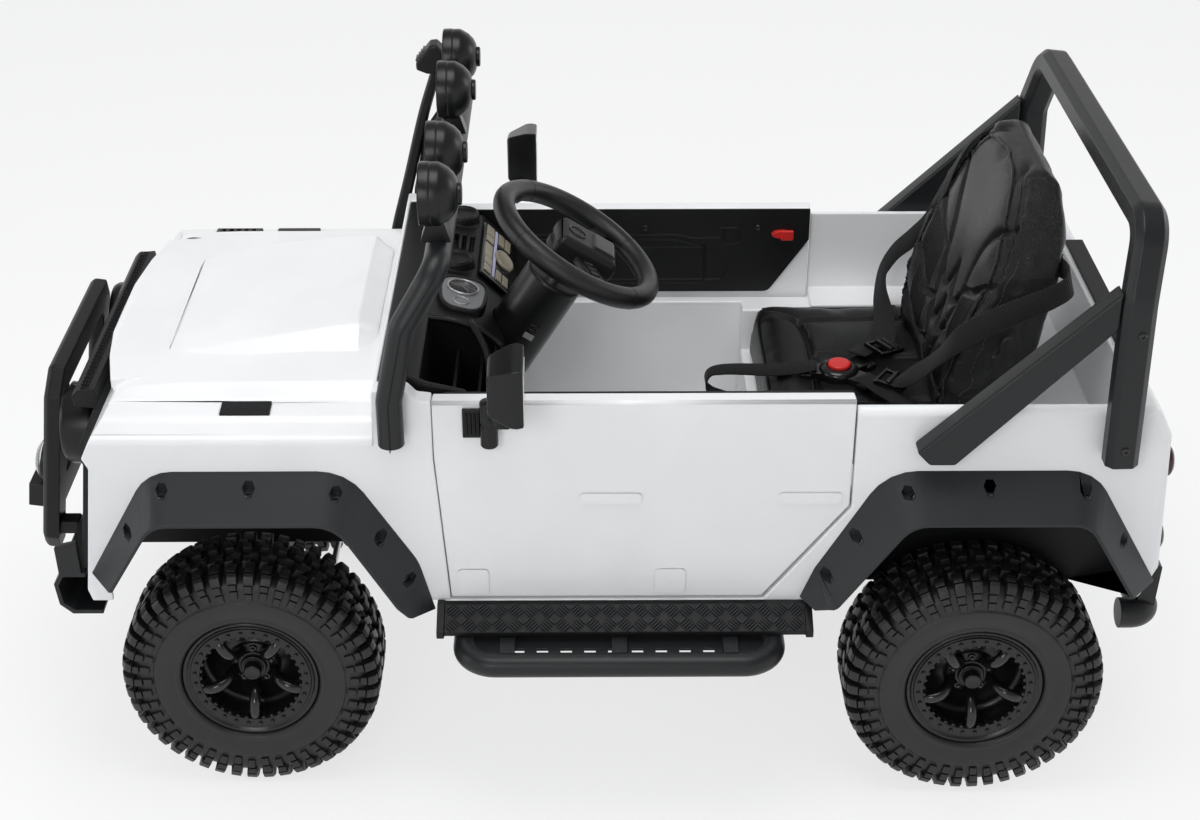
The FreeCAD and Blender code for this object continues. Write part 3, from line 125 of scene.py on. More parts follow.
class Shader(Nodes):
    """One material and the nodes that make it."""

    def __init__(self, name, **constants):
        self.material = bpy.data.materials.new(name)
        self.material.use_nodes = True
        self.tree = self.material.node_tree
        self.tree.nodes.clear()
        output = self.tree.nodes.new("ShaderNodeOutputMaterial")
        self.surface = self.tree.nodes.new("ShaderNodeBsdfPrincipled")
        self.tree.links.new(self.surface.outputs[0], output.inputs[0])
        for socket, value in constants.items():
            self.surface.inputs[socket.replace("_", " ").title().replace("Ior", "IOR")].default_value = value
        self.place = self.add("ShaderNodeTexCoord", output="Object")

    def noise(self, scale, detail=3.0, roughness=0.55, output="Fac"):
        return self.add("ShaderNodeTexNoise", {"noise_dimensions": "3D"}, {
            "Vector": self.place, "Scale": scale, "Detail": detail, "Roughness": roughness}, output)

    def cell_edges(self, scale, at):
        """Distance to the edge of the nearest cell."""
        return self.add("ShaderNodeTexVoronoi", {"feature": "DISTANCE_TO_EDGE"},
                        {"Vector": at, "Scale": scale}, "Distance")

    def axis(self, letter, at):
        return self.add("ShaderNodeSeparateXYZ", sockets={0: at}, output=letter)

    def step(self, value, low, high):
        """0 under low, 1 over high and smooth between."""
        return self.add("ShaderNodeMapRange", {"interpolation_type": "SMOOTHSTEP"},
                        {"Value": value, "From Min": low, "From Max": high})

    def shade(self, factor, first, second):
        """A colour between two, chosen by a value."""
        node = self.tree.nodes.new("ShaderNodeMix")
        node.data_type = "RGBA"
        for identifier, value in (("Factor_Float", factor), ("A_Color", first), ("B_Color", second)):
            self.join([s for s in node.inputs if s.identifier == identifier][0], value)
        return Field(self, [s for s in node.outputs if s.identifier == "Result_Color"][0])

    def set(self, socket, value):
        self.join(self.surface.inputs[socket], value)

    def bump(self, height, distance, strength=1.0, under=None):
        return self.add("ShaderNodeBump", sockets={
            "Height": height, "Distance": distance, "Strength": strength, "Normal": under})


def tint(colour, scale=1.0):
    return tuple(min(1.0, c * scale) for c in colour) + (1.0,)


def moulded(name, colour, rough, grain, depth, specular=0.5, metallic=0.0):
    """A moulded or coated surface: grain of so many bumps a metre, broad drifts of tone and gloss."""
    s = Shader(name, specular_ior_level=specular, metallic=metallic)
    drift = s.noise(7.0, 2.0)
    fine = s.noise(grain, 4.0, 0.6)
    s.set("Base Color", s.shade(s.step(drift, 0.3, 0.7), tint(colour, 0.94), tint(colour, 1.06)))
    s.set("Roughness", drift * 0.10 + fine * 0.08 + (rough - 0.09))
    s.set("Normal", s.bump(fine + s.noise(grain * 0.21, 2.0) * 0.6, depth))
    return s.material


def white_shell_material():
    """Blow-moulded white shell: faint sink marks and orange peel under a soft gloss."""
    s = Shader("white_blow_moulded_shell", coat_weight=0.25, coat_roughness=0.12)
    sinks = s.noise(9.0, 2.0)
    peel = s.noise(420.0, 2.0, 0.5)
    s.set("Base Color", s.shade(s.step(sinks, 0.35, 0.65),
                                tint((0.80, 0.805, 0.81)), tint((0.83, 0.835, 0.84))))
    s.set("Roughness", sinks * 0.10 + 0.27)
    s.set("Normal", s.bump(peel, 0.00006, 1.0, s.bump(sinks, 0.0012, 0.35)))
    return s.material


def leather_material():
    """Imitation leather: pebbled grain with fine pores and creases, satin on the crowns."""
    s = Shader("black_imitation_leather", specular_ior_level=0.32)
    warp = s.vector("ADD", s.place, s.scaled(s.noise(160.0, 2.0, output="Color"), 0.0016))
    pebbles = s.step(s.cell_edges(640.0, warp), 0.0, 0.22)
    pores = s.noise(2600.0, 2.0)
    wrinkles = s.noise(48.0, 4.0, 0.6)
    tone = s.step(wrinkles, 0.35, 0.7)
    s.set("Base Color", s.shade(tone, tint((0.0035, 0.0035, 0.0039)), tint((0.0065, 0.0065, 0.0072))))
    s.set("Roughness", 0.30 - pebbles * 0.06 + wrinkles * 0.12)
    s.set("Normal", s.bump(pebbles + pores * 0.25, 0.00022, 0.9, s.bump(wrinkles, 0.0016, 0.35)))
    return s.material


def webbing_material():
    """Woven webbing: a fine rib across the band, from the band's own UV map in metres."""
    rib_pitch, thread_pitch = 0.0024, 0.0011
    s = Shader("black_woven_webbing", specular_ior_level=0.15, sheen_weight=0.05, sheen_roughness=0.5)
    place = s.add("ShaderNodeUVMap", {"uv_map": "band"})
    across = s.axis("X", place)
    along_band = s.axis("Y", place)
    ribs = (along_band * (2 * math.pi / rib_pitch)).maths("SINE")
    threads = (across * (2 * math.pi / thread_pitch)).maths("SINE")
    weave = ribs * 0.5 + threads * ribs * 0.35 + 0.5
    s.set("Base Color", s.shade(weave, tint((0.0030, 0.0030, 0.0034)), tint((0.0190, 0.0190, 0.0205))))
    s.set("Roughness", 0.78 - weave * 0.16)
    s.set("Normal", s.bump(weave, 0.00035, 0.9))
    return s.material


def rubber_material():
    """Foam rubber tyre: dull and faintly mottled, with a fine mould texture."""
    s = Shader("black_foam_rubber", specular_ior_level=0.45)
    mottle = s.noise(24.0, 4.0)
    skin = s.noise(1500.0, 3.0)
    s.set("Base Color", s.shade(s.step(mottle, 0.3, 0.75),
                                tint((0.0075, 0.0077, 0.0080)), tint((0.0125, 0.0129, 0.0135))))
    s.set("Roughness", mottle * 0.12 + 0.36)
    s.set("Normal", s.bump(skin + mottle * 0.5, 0.00018, 0.9))
    return s.material


def clear_material():
    """Clear moulded lens with faint flow lines."""
    s = Shader("clear_lens", transmission_weight=0.95, ior=1.49)
    flow = s.noise(90.0, 2.0)
    s.set("Base Color", tint((0.94, 0.95, 0.97)))
    s.set("Roughness", flow * 0.05 + 0.06)
    s.set("Normal", s.bump(flow, 0.0002, 0.4))
    return s.material


def bright_material(name, colour, rough, grain=700.0):
    """Plated or brushed metal with faint draw lines along the piece."""
    s = Shader(name, metallic=1.0)
    lines = s.noise(grain, 5.0, 0.65)
    cloud = s.noise(18.0, 3.0)
    s.set("Base Color", s.shade(cloud, tint(colour, 0.86), tint(colour, 1.08)))
    s.set("Roughness", lines * 0.14 + (rough - 0.07))
    s.set("Normal", s.bump(lines, 0.00008, 0.7))
    return s.material


MATERIALS = {
    "white": white_shell_material(),
    "black": moulded("black_grained_plastic", (0.0060, 0.0062, 0.0067), 0.42, 1900.0, 0.00016, 0.27),
    "satin": moulded("black_satin_plastic", (0.0060, 0.0062, 0.0066), 0.30, 1200.0, 0.00007, 0.32),
    "flare": moulded("dark_grey_flare_plastic", (0.0215, 0.0230, 0.0255), 0.44, 1700.0, 0.00012, 0.30),
    "tube": moulded("black_powder_coat", (0.0105, 0.0112, 0.0122), 0.38, 1300.0, 0.00012, 0.36),
    "gloss": moulded("black_gloss_plastic", (0.0055, 0.0057, 0.0060), 0.20, 900.0, 0.00003, 0.55),
    "chassis": moulded("black_coated_steel", (0.0100, 0.0100, 0.0105), 0.45, 900.0, 0.00012, 0.22),
    "case": moulded("dark_gear_case_plastic", (0.0150, 0.0150, 0.0165), 0.50, 800.0, 0.0002, 0.22),
    "rubber": rubber_material(),
    "rim": moulded("dark_satin_wheel_plastic", (0.0070, 0.0072, 0.0076), 0.29, 1100.0, 0.00006, 0.42),
    "leather": leather_material(),
    "leather_grip": moulded("grained_grip_plastic", (0.0070, 0.0073, 0.0080), 0.36, 1500.0, 0.00022, 0.42),
    # The seat thread is black; its lighter grey here is a painted highlight that makes the stitches show on the
    # leather.
    "thread": moulded("black_thread_painted_highlight", (0.045, 0.045, 0.047), 0.50, 2400.0, 0.00010, 0.4),
    "webbing": webbing_material(),
    "red": moulded("red_plastic", (0.62, 0.022, 0.020), 0.34, 900.0, 0.00005),
    "gold": moulded("champagne_panel", (0.30, 0.265, 0.20), 0.36, 900.0, 0.00004, metallic=0.35),
    "lilac": moulded("pale_lilac_strip", (0.42, 0.42, 0.60), 0.32, 900.0, 0.00004),
    "silver": moulded("silver_grey_plastic", (0.20, 0.205, 0.21), 0.36, 900.0, 0.00005, metallic=0.2),
    "steel": bright_material("zinc_plated_steel", (0.62, 0.62, 0.64), 0.34),
    "mirror": bright_material("mirror_face", (0.74, 0.75, 0.77), 0.12, 500.0),
    "reflector": bright_material("lamp_reflector", (0.80, 0.80, 0.82), 0.16),
    "clear": clear_material(),
    "smoke": moulded("dark_red_lens", (0.045, 0.012, 0.012), 0.22, 500.0, 0.00005),
}


# Mesh tools
def shift(x, y, z):
    return Matrix.Translation((x, y, z))


def turn(degrees, axis):
    return Matrix.Rotation(math.radians(degrees), 4, axis)


def ease(value, low, high):
    """0 under low, 1 over high and even between."""
    return max(0.0, min(1.0, (value - low) / (high - low)))


def hump(value, width):
    """1 at nought, falling away either side."""
    return math.exp(-(value / width) ** 2)


def angles(count):
    return [2 * math.pi * k / count for k in range(count)]


def finish_mesh(bm, name):
    mesh = bpy.data.meshes.new(name)
    bm.to_mesh(mesh)
    bm.free()
    piece = bpy.data.objects.new(name, mesh)
    bpy.context.scene.collection.objects.link(piece)
    return piece


def baked(piece):
    """The piece with its modifiers worked into its mesh."""
    graph = bpy.context.evaluated_depsgraph_get()
    mesh = bpy.data.meshes.new_from_object(piece.evaluated_get(graph))
    piece.modifiers.clear()
    piece.data = mesh
    return piece


def body_of(node):
    return NODES[node]["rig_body"]


def weigh_edges(mesh, width, angle):
    """Marks the edges to round: sharp ones with room beside them."""
    bm = bmesh.new()
    bm.from_mesh(mesh)
    layer = bm.edges.layers.float.new("bevel_weight_edge")
    limit = math.radians(angle)
    sharp = {e for e in bm.edges if len(e.link_faces) == 2 and e.calc_face_angle(0.0) > limit}
    for edge in sharp:
        beside = [other for vert in edge.verts for other in vert.link_edges if other not in sharp
                  and any(face in edge.link_faces for face in other.link_faces)]
        if edge.calc_length() > width * 0.5 and all(other.calc_length() > width * 1.3 for other in beside):
            edge[layer] = 1.0
    bm.to_mesh(mesh)
    bm.free()


def rounded(piece, width, segments=2, angle=28.0):
    """Rounds a piece's edges and shades it smooth between them."""
    if width:
        weigh_edges(piece.data, width, angle)
        bevel = piece.modifiers.new("edges", "BEVEL")
        bevel.width = width
        bevel.segments = segments
        bevel.limit_method = "WEIGHT"
        bevel.use_clamp_overlap = False
        bevel.harden_normals = False
    piece.data.shade_smooth()
    weighted = piece.modifiers.new("faces", "WEIGHTED_NORMAL")
    weighted.keep_sharp = True
    weighted.weight = 80
    return baked(piece)


def softened(node, material, width):
    """A node's own shape with its edges rounded as a mould leaves them."""
    bm = bmesh.new()
    bm.from_mesh(NODES[node].data)
    bmesh.ops.remove_doubles(bm, verts=bm.verts, dist=WELD)
    bmesh.ops.dissolve_limit(bm, angle_limit=math.radians(0.4), verts=bm.verts, edges=bm.edges)
    piece = finish_mesh(bm, node + "_dressed")
    piece.data.materials.append(MATERIALS[material])
    return fitted(rounded(piece, width), node)


# Shape tools
def loft(bm, rings):
    """A skin over a row of outlines that have equal numbers of points."""
    rows = [[bm.verts.new(p) for p in ring] for ring in rings]
    count = len(rows[0])
    for first, second in zip(rows, rows[1:]):
        for i in range(count):
            j = (i + 1) % count
            bm.faces.new((first[i], first[j], second[j], second[i]))
    bm.faces.new(rows[0][::-1])
    bm.faces.new(rows[-1])
    return rows


def turned(bm, profile, sides, place=Matrix(), closed=True):
    """A (radius, station) outline turned about Y, then set in its place."""
    rows = [[bm.verts.new(place @ Vector((r * math.sin(angle), station, r * math.cos(angle))))
             for r, station in profile] for angle in angles(sides)]
    count = len(profile)
    for side in range(sides):
        first, second = rows[side], rows[(side + 1) % sides]
        for i in range(count if closed else count - 1):
            j = (i + 1) % count
            bm.faces.new((first[i], second[i], second[j], first[j]))


def heading(points, i):
    """The way a line runs at one of its points."""
    return (points[min(i + 1, len(points) - 1)] - points[max(i - 1, 0)]).normalized()


def swept(bm, points, radius, sides=16, up=(0, 0, 1)):
    """A rod along points. radius is one number or one for each point."""
    points = [Vector(p) for p in points]
    rings = []
    for i, point in enumerate(points):
        ahead = heading(points, i)
        across = ahead.cross(Vector(up)).normalized()
        top = across.cross(ahead).normalized()
        size = radius[i] if isinstance(radius, list) else radius
        rings.append([point + across * math.cos(t) * size + top * math.sin(t) * size for t in angles(sides)])
    loft(bm, rings)


def curved(points, steps=6):
    """Points on a smooth curve through the given ones."""
    points = [Vector(p) for p in points]
    ends = [points[0] * 2 - points[1]] + points + [points[-1] * 2 - points[-2]]
    line = []
    for a, b, c, d in zip(ends, ends[1:], ends[2:], ends[3:]):
        for k in range(steps):
            t = k / steps
            line.append(0.5 * ((2 * b) + (c - a) * t + (2 * a - 5 * b + 4 * c - d) * t * t
                               + (3 * b - a - 3 * c + d) * t ** 3))
    return line + [points[-1]]


def block(bm, low, high, place=Matrix()):
    """A box between two corners, set in its place."""
    plan = ((low[0], low[1]), (high[0], low[1]), (high[0], high[1]), (low[0], high[1]))
    loft(bm, [[place @ Vector((x, y, z)) for x, y in plan] for z in (low[2], high[2])])


def side_block(bm, hand, low, high):
    """A box on one side of the toy: its corners are given for the left, and hand is -1 for the right."""
    near, far = sorted((hand * low[1], hand * high[1]))
    block(bm, (low[0], near, low[2]), (high[0], far, high[2]))


def head_outline(radius, height, socket=0.0):
    """The (radius, station) outline of a screw or button head."""
    dome = [(radius, -0.0006), (radius, height * 0.45), (radius * 0.86, height * 0.85), (radius * 0.55, height)]
    return dome + ([(socket, height), (socket, height * 0.25), (0, height * 0.25)] if socket else [(0, height)])


def screw_head(name, radius, height, sides, socket):
    """A screw head standing on Z, to be repeated."""
    return small_part(name, [(turned, head_outline(radius, height, socket), sides, turn(90, "X"), False)])


def rod_bit(name, half, radius, sides, sink=0.0):
    """A short length of round rod along X, to be repeated end to end."""
    return small_part(name, [(swept, [(-half, 0, -sink), (0, 0, -sink), (half, 0, -sink)], radius, sides)])


def solid(name, finish, shapes, bevel=0.0, segments=2, angle=28.0):
    """One finished piece from shapes, each a drawing function and what it draws with."""
    bm = bmesh.new()
    for draw, *values in shapes:
        draw(bm, *values)
    bmesh.ops.remove_doubles(bm, verts=bm.verts, dist=WELD)
    bmesh.ops.recalc_face_normals(bm, faces=bm.faces)
    piece = finish_mesh(bm, name)
    piece.data.materials.append(MATERIALS[finish])
    return rounded(piece, bevel, segments, angle)


def joined(name, *pieces):
    """Several finished pieces as one, each keeping its own finish."""
    bm = bmesh.new()
    finishes = []
    for piece in pieces:
        start = len(bm.faces)
        bm.from_mesh(piece.data)
        slots = []
        for material in piece.data.materials:
            if material not in finishes:
                finishes.append(material)
            slots.append(finishes.index(material))
        bm.faces.ensure_lookup_table()
        for face in bm.faces[start:]:
            face.material_index = slots[face.material_index]
        bpy.data.objects.remove(piece)
    whole = finish_mesh(bm, name)
    for material in finishes:
        whole.data.materials.append(material)
    return whole


def moved(piece, place):
    piece.data.transform(place)
    return piece


def copied(piece, name, place):
    twin = piece.copy()
    twin.data = piece.data.copy()
    twin.name = name
    bpy.context.scene.collection.objects.link(twin)
    return moved(twin, place)


def fitted(piece, *nodes):
    """The piece stands for these nodes and moves with the first one."""
    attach(piece, body_of(nodes[0]))
    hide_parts(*nodes)
    return piece


def added(piece, node):
    """The piece is an extra on a node and moves with it."""
    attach(piece, body_of(node))


class Growth(Nodes):
    """A geometry tree with named inputs. It is run once and baked into a piece."""

    def __init__(self, name, **inputs):
        self.tree = bpy.data.node_groups.new(name, "GeometryNodeTree")
        self.tree.is_modifier = True
        kinds = {int: "NodeSocketInt", float: "NodeSocketFloat", tuple: "NodeSocketVector"}
        face = self.tree.interface
        face.new_socket("Geometry", in_out="INPUT", socket_type="NodeSocketGeometry")
        face.new_socket("Geometry", in_out="OUTPUT", socket_type="NodeSocketGeometry")
        self.sockets = {}
        self.values = inputs
        for key, value in inputs.items():
            kind = "NodeSocketMaterial" if key == "finish" else kinds.get(type(value), "NodeSocketObject")
            self.sockets[key] = face.new_socket(key, in_out="INPUT", socket_type=kind).identifier
        self.start = self.tree.nodes.new("NodeGroupInput")
        self.end = self.tree.nodes.new("NodeGroupOutput")

    def given(self, key):
        return Field(self, [s for s in self.start.outputs if s.identifier == self.sockets[key]][0])

    def shape_of(self, key):
        return self.add("GeometryNodeObjectInfo", sockets={0: self.given(key)}, output="Geometry")

    def grown(self, copies, name, base=None):
        """Realizes the copies, gives them their finish and bakes them."""
        whole = self.add("GeometryNodeRealizeInstances", sockets={0: copies})
        painted = self.add("GeometryNodeSetMaterial", sockets={"Geometry": whole, "Material": self.given("finish")})
        self.join(self.end.inputs[0], painted)
        piece = bpy.data.objects.new(name, base or bpy.data.meshes.new(name))
        bpy.context.scene.collection.objects.link(piece)
        modifier = piece.modifiers.new("growth", "NODES")
        modifier.node_group = self.tree
        for key, value in self.values.items():
            modifier[self.sockets[key]] = value
        piece = baked(piece)
        bpy.data.node_groups.remove(self.tree)
        return piece


def around(name, part, count, finish, start=0.0):
    """Copies of a part set evenly about the Y axis."""
    g = Growth(name + "_ring", part=part, count=count, start=float(start), finish=MATERIALS[finish])
    spots = g.add("GeometryNodeMeshLine", {"mode": "OFFSET"}, {"Count": g.given("count"), "Offset": (0, 0, 0)})
    angle = g.add("GeometryNodeInputIndex") * (2 * math.pi) / g.given("count") + g.given("start")
    facing = g.add("FunctionNodeAxisAngleToRotation", sockets={"Axis": (0, 1, 0), "Angle": angle})
    copies = g.add("GeometryNodeInstanceOnPoints", sockets={
        "Points": spots, "Instance": g.shape_of("part"), "Rotation": facing})
    piece = g.grown(copies, name)
    bpy.data.objects.remove(part)
    return piece


def along(name, part, lines, spacing, finish, ground=None, up=(0.0, 0.0, 1.0), lift=0.0):
    """Copies of a part at even steps along lines, or at single points when the spacing is 0.

    X lies along the line, Z stands off the ground piece, or up without one.
    """
    bm = bmesh.new()
    for line in lines:
        rungs = [bm.verts.new(p) for p in line]
        for first, second in zip(rungs, rungs[1:]):
            bm.edges.new((first, second))
    path = bpy.data.meshes.new(name + "_path")
    bm.to_mesh(path)
    bm.free()
    values = {"part": part, "spacing": float(spacing), "up": tuple(up), "lift": float(lift)}
    if ground:
        values["ground"] = ground
    g = Growth(name + "_row", finish=MATERIALS[finish], **values)
    even, ahead = Field(g, g.start.outputs[0]), (1.0, 0.0, 0.0)
    if spacing:
        curve = g.add("GeometryNodeMeshToCurve", sockets={0: even})
        even = g.add("GeometryNodeResampleCurve", {"mode": "LENGTH"}, {"Curve": curve, "Length": g.given("spacing")})
        ahead = g.add("GeometryNodeInputTangent")
    off = g.given("up")
    where = g.vector("ADD", g.add("GeometryNodeInputPosition"), g.scaled(off, g.given("lift")))
    if ground:
        surface = g.shape_of("ground")
        near = g.add("GeometryNodeProximity", sockets={0: surface}, output="Position")
        off = g.add("GeometryNodeSampleNearestSurface", {"data_type": "FLOAT_VECTOR"}, {
            "Mesh": surface, "Value": g.add("GeometryNodeInputNormal")})
        where = g.vector("ADD", near, g.scaled(off, g.given("lift")))
    facing = g.add("FunctionNodeAxesToRotation", {"primary_axis": "Z", "secondary_axis": "X"},
                   {0: off, 1: ahead})
    laid = g.add("GeometryNodeSetPosition", sockets={"Geometry": even, "Position": where})
    copies = g.add("GeometryNodeInstanceOnPoints", sockets={
        "Points": laid, "Instance": g.shape_of("part"), "Rotation": facing})
    piece = g.grown(copies, name, path)
    bpy.data.objects.remove(part)
    return piece


def small_part(name, shapes, bevel=0.0):
    """A small shape to be repeated, from drawing functions and what they draw with."""
    bm = bmesh.new()
    for draw, *values in shapes:
        draw(bm, *values)
    bmesh.ops.remove_doubles(bm, verts=bm.verts, dist=FINE_WELD)
    bmesh.ops.recalc_face_normals(bm, faces=bm.faces)
    if bevel:
        bmesh.ops.bevel(bm, geom=bm.edges[:], offset=bevel, segments=1, profile=0.6, affect="EDGES",
                        clamp_overlap=True)
    return finish_mesh(bm, name)


# Tyres and rims, made at the origin with the outside towards +Y
LUG_PAIRS = 23
TYRE_HALF = [
    (0.0733, 0.0398), (0.0755, 0.0442), (0.0778, 0.0452), (0.0790, 0.0460), (0.0802, 0.0458), (0.0812, 0.0450),
    (0.0835, 0.0453), (0.0900, 0.0466), (0.0965, 0.0472), (0.1012, 0.0473), (0.1026, 0.0470), (0.1034, 0.0455),
    (0.1046, 0.0452), (0.1090, 0.0452), (0.1150, 0.0447), (0.1200, 0.0434), (0.1245, 0.0405), (0.1280, 0.0360),
    (0.1300, 0.0300), (0.1308, 0.0200), (0.1312, 0.0050), (0.1318, 0.0022), (0.1342, 0.0016)]
RIM_OUTLINE = [
    (0.0730, 0.0370), (0.0733, 0.0408), (0.0726, 0.0420), (0.0712, 0.0421), (0.0697, 0.0412), (0.0682, 0.0396),
    (0.0668, 0.0390), (0.0657, 0.0391), (0.0652, 0.0398), (0.0650, 0.0411), (0.0644, 0.0415), (0.0560, 0.0415),
    (0.0552, 0.0412), (0.0549, 0.0400), (0.0546, 0.0350), (0.0560, 0.0325), (0.0620, 0.0305), (0.0640, 0.0290),
    (0.0640, 0.0040), (0.0520, 0.0010), (0.0400, 0.0060), (0.0300, 0.0085), (0.0268, 0.0088), (0.0262, 0.0120),
    (0.0240, 0.0126), (0.0180, 0.0126), (0.0174, 0.0165), (0.0168, 0.0172), (0.0148, 0.0172), (0.0142, 0.0166),
    (0.0140, 0.0200), (0.0132, 0.0210), (0.0116, 0.0210), (0.0110, 0.0204), (0.0100, 0.0204), (0.0096, 0.0212),
    (0.0094, 0.0300), (0.0084, 0.0316), (0.0060, 0.0320), (0.0056, 0.0310), (0.0000, 0.0310), (0.0000, -0.0040),
    (0.0680, -0.0040), (0.0690, -0.0370), (0.0730, -0.0380)]


def tread_block(bm, stations):
    """A block between stations: foot and top as radius and side place, middle along the tread, half width."""
    def at(radius, across, run):
        return Vector((radius * math.sin(run / radius), across, radius * math.cos(run / radius)))

    loft(bm, [[at(foot, foot_y, run - half), at(foot, foot_y, run + half),
               at(top, top_y, run + half * 0.86), at(top, top_y, run - half * 0.86)]
              for foot, foot_y, top, top_y, run, half in stations])


def tread_pair(bm):
    """Two neighbouring rows of tread blocks, on both sides of the middle line."""
    pitch = 2 * math.pi * TYRE_RADIUS / (2 * LUG_PAIRS)
    crown = TYRE_RADIUS
    for number in (0, 1):
        low = 0.1052 + number * 0.0025
        step = 0.0035 * number
        inner = step * 0.4
        # Each station: foot, its side place, top, its side place, radius of its pitch, shift, half width
        blocks = (
            ((low, 0.0445, low + 0.0005, 0.0478, low, 0, 0.0042),
             (0.1145 + step, 0.0436, 0.1145 + step, 0.0479, 0.1145, 0, 0.0046)),
            ((0.1158 + step, 0.0430, 0.1160 + step, 0.0479, 0.116, 0.0006, 0.0048),
             (0.1215 + inner, 0.0405, 0.1250 + inner, 0.0474, 0.124, 0.0006, 0.0052)),
            ((0.1230 + inner, 0.0405, 0.1262 + inner, 0.0472, 0.126, 0, 0.0060),
             (0.1275, 0.0360, 0.1342, 0.0436, 0.13, 0, 0.0062),
             (0.1290, 0.0330, 0.1374, 0.0394, crown, 0, 0.0062)),
            ((0.1290, 0.0318, 0.1376, 0.0378, crown, 0.0008, 0.0058),
             (0.1300, 0.0290, 0.1394, 0.0330, crown, 0.0008, 0.0062),
             (0.1300, 0.0235, 0.1399, 0.0232 + number * 0.003, crown, 0.0002, 0.0062)),
            ((0.1300, 0.0225, 0.1397, 0.0212, crown, 0.0052, 0.0050),
             (0.1300, 0.0140, 0.1399, 0.0150, crown, 0.0036, 0.0056),
             (0.1300, 0.0125, 0.1399, 0.0125, crown, -0.0004, 0.0062),
             (0.1300, 0.0040, 0.1397, 0.0050, crown, -0.0016, 0.0056)))
        for side, stagger in ((1, 0.0), (-1, pitch * 0.5)):
            run = (number - 0.5) * pitch + stagger
            for stations in blocks:
                tread_block(bm, [(foot, side * foot_y, top, side * top_y, run * radius / TYRE_RADIUS + drift, half)
                                 for foot, foot_y, top, top_y, radius, drift, half in stations])


def tyre_piece():
    outline = TYRE_HALF + [(radius, -y) for radius, y in reversed(TYRE_HALF)]
    carcass = solid("tyre_carcass", "rubber", [(turned, outline, 112)])
    pair = small_part("lug_pitch", [(tread_pair,)], 0.0006)
    return joined("tyre", carcass, rounded(around("tread_lugs", pair, LUG_PAIRS, "rubber"), 0))


def rim_piece():
    """The rim: its turned disc, hooked spokes, ring buttons and teeth, and hub bolts."""
    line = curved([(0, 0.0200, 0.0560), (0, 0.0290, 0.0568), (0, 0.0355, 0.0530), (0.0006, 0.0382, 0.0455),
                   (0.0010, 0.0362, 0.0365), (0.0006, 0.0290, 0.0290), (0, 0.0190, 0.0240), (0, 0.0100, 0.0215)], 5)
    sizes = [0.0058 + 0.0006 * math.sin(math.pi * i / (len(line) - 1)) for i in range(len(line))]
    tooth = [(0.0, 0.0340), (0.0026, 0.0340), (0.0026, 0.0402), (0.0019, 0.0409), (0.0, 0.0409)]
    bolt = [(0, 0.010), (0.0044, 0.010), (0.0044, 0.0150), (0.0038, 0.0156), (0, 0.0156)]
    tip = [(0, 0.015), (0.0026, 0.015), (0.0026, 0.0178), (0.0021, 0.0183), (0, 0.0183)]
    pieces = [solid("rim_disc", "rim", [(turned, RIM_OUTLINE, 112)])]
    for name, shapes, count, finish, start in (
            ("rim_spokes", [(swept, line, sizes, 16, (1, 0, 0))], 5, "gloss", math.pi),
            ("bead_ring_buttons", [(turned, head_outline(0.0022, 0.0021), 12, shift(0, 0.0416, 0.0602), False)],
             28, "rim", 0.1),
            ("bead_ring_teeth", [(turned, tooth, 12, shift(0, 0, 0.0545), False)], 36, "rim", 0.0),
            ("hub_bolts", [(turned, bolt, 20, shift(0, 0, 0.0205), False),
                           (turned, tip, 6, shift(0, 0, 0.0205), False)], 5, "gloss", math.pi * 1.2)):
        pieces.append(rounded(around(name, small_part(name + "_one", shapes), count, finish, start), 0))
    return joined("rim", *pieces)


def wheels():
    tyre, rim = tyre_piece(), rim_piece()
    for end, x, y in (("front", 0.356, 0.226), ("rear", -0.423, 0.247)):
        for side, hand in SIDES:
            place = shift(x, hand * y, TYRE_RADIUS)
            if hand < 0:
                place = place @ turn(180, "Z")
            for kind, piece in (("tyre", tyre), ("rim", rim)):
                name = "%s_%s_%s" % (kind, end, side)
                fitted(copied(piece, name + "_dressed", place), name)
    bpy.data.objects.remove(tyre)
    bpy.data.objects.remove(rim)


# Seat and harness
PAD_TRAVEL = 0.005
STITCH_PITCH = 0.0056
STITCH_GAP = 0.0046
BACK_LEAN = 0.29
BACK_FOOT = (-0.385, 0.36)
WEBBING_WIDTH = 0.025
WEBBING_THICKNESS = 0.0017


def stuffed(node, voxel):
    """A padded piece: the node's shape filled as cloth is, no point moving further than PAD_TRAVEL."""
    bm = bmesh.new()
    bm.from_mesh(NODES[node].data)
    bmesh.ops.remove_doubles(bm, verts=bm.verts, dist=WELD)
    piece = finish_mesh(bm, node + "_dressed")
    skin = piece.modifiers.new("skin", "REMESH")
    skin.mode = "VOXEL"
    skin.voxel_size = voxel * 1.0
    baked(piece)
    rest = [v.co.copy() for v in piece.data.vertices]
    cloth = piece.modifiers.new("cover", "CLOTH").settings
    cloth.use_pressure = True
    cloth.uniform_pressure_force = 4.0
    cloth.effector_weights.gravity = 0
    cloth.quality = 4
    cloth.tension_stiffness = 12
    cloth.compression_stiffness = 12
    scene = bpy.context.scene
    for number in range(1, 21):
        scene.frame_set(number)
    baked(piece)
    scene.frame_set(1)
    for vertex, start in zip(piece.data.vertices, rest):
        step = vertex.co - start
        if step.length > PAD_TRAVEL:
            vertex.co = start + step * (PAD_TRAVEL / step.length)
    smooth = piece.modifiers.new("finer", "SUBSURF")
    smooth.levels = smooth.render_levels = 1
    return baked(piece)


def leathered(piece, node):
    """Leather over a finished pad, which stands for its node."""
    piece.data.materials.append(MATERIALS["leather"])
    piece.data.shade_smooth()
    fitted(piece, node)


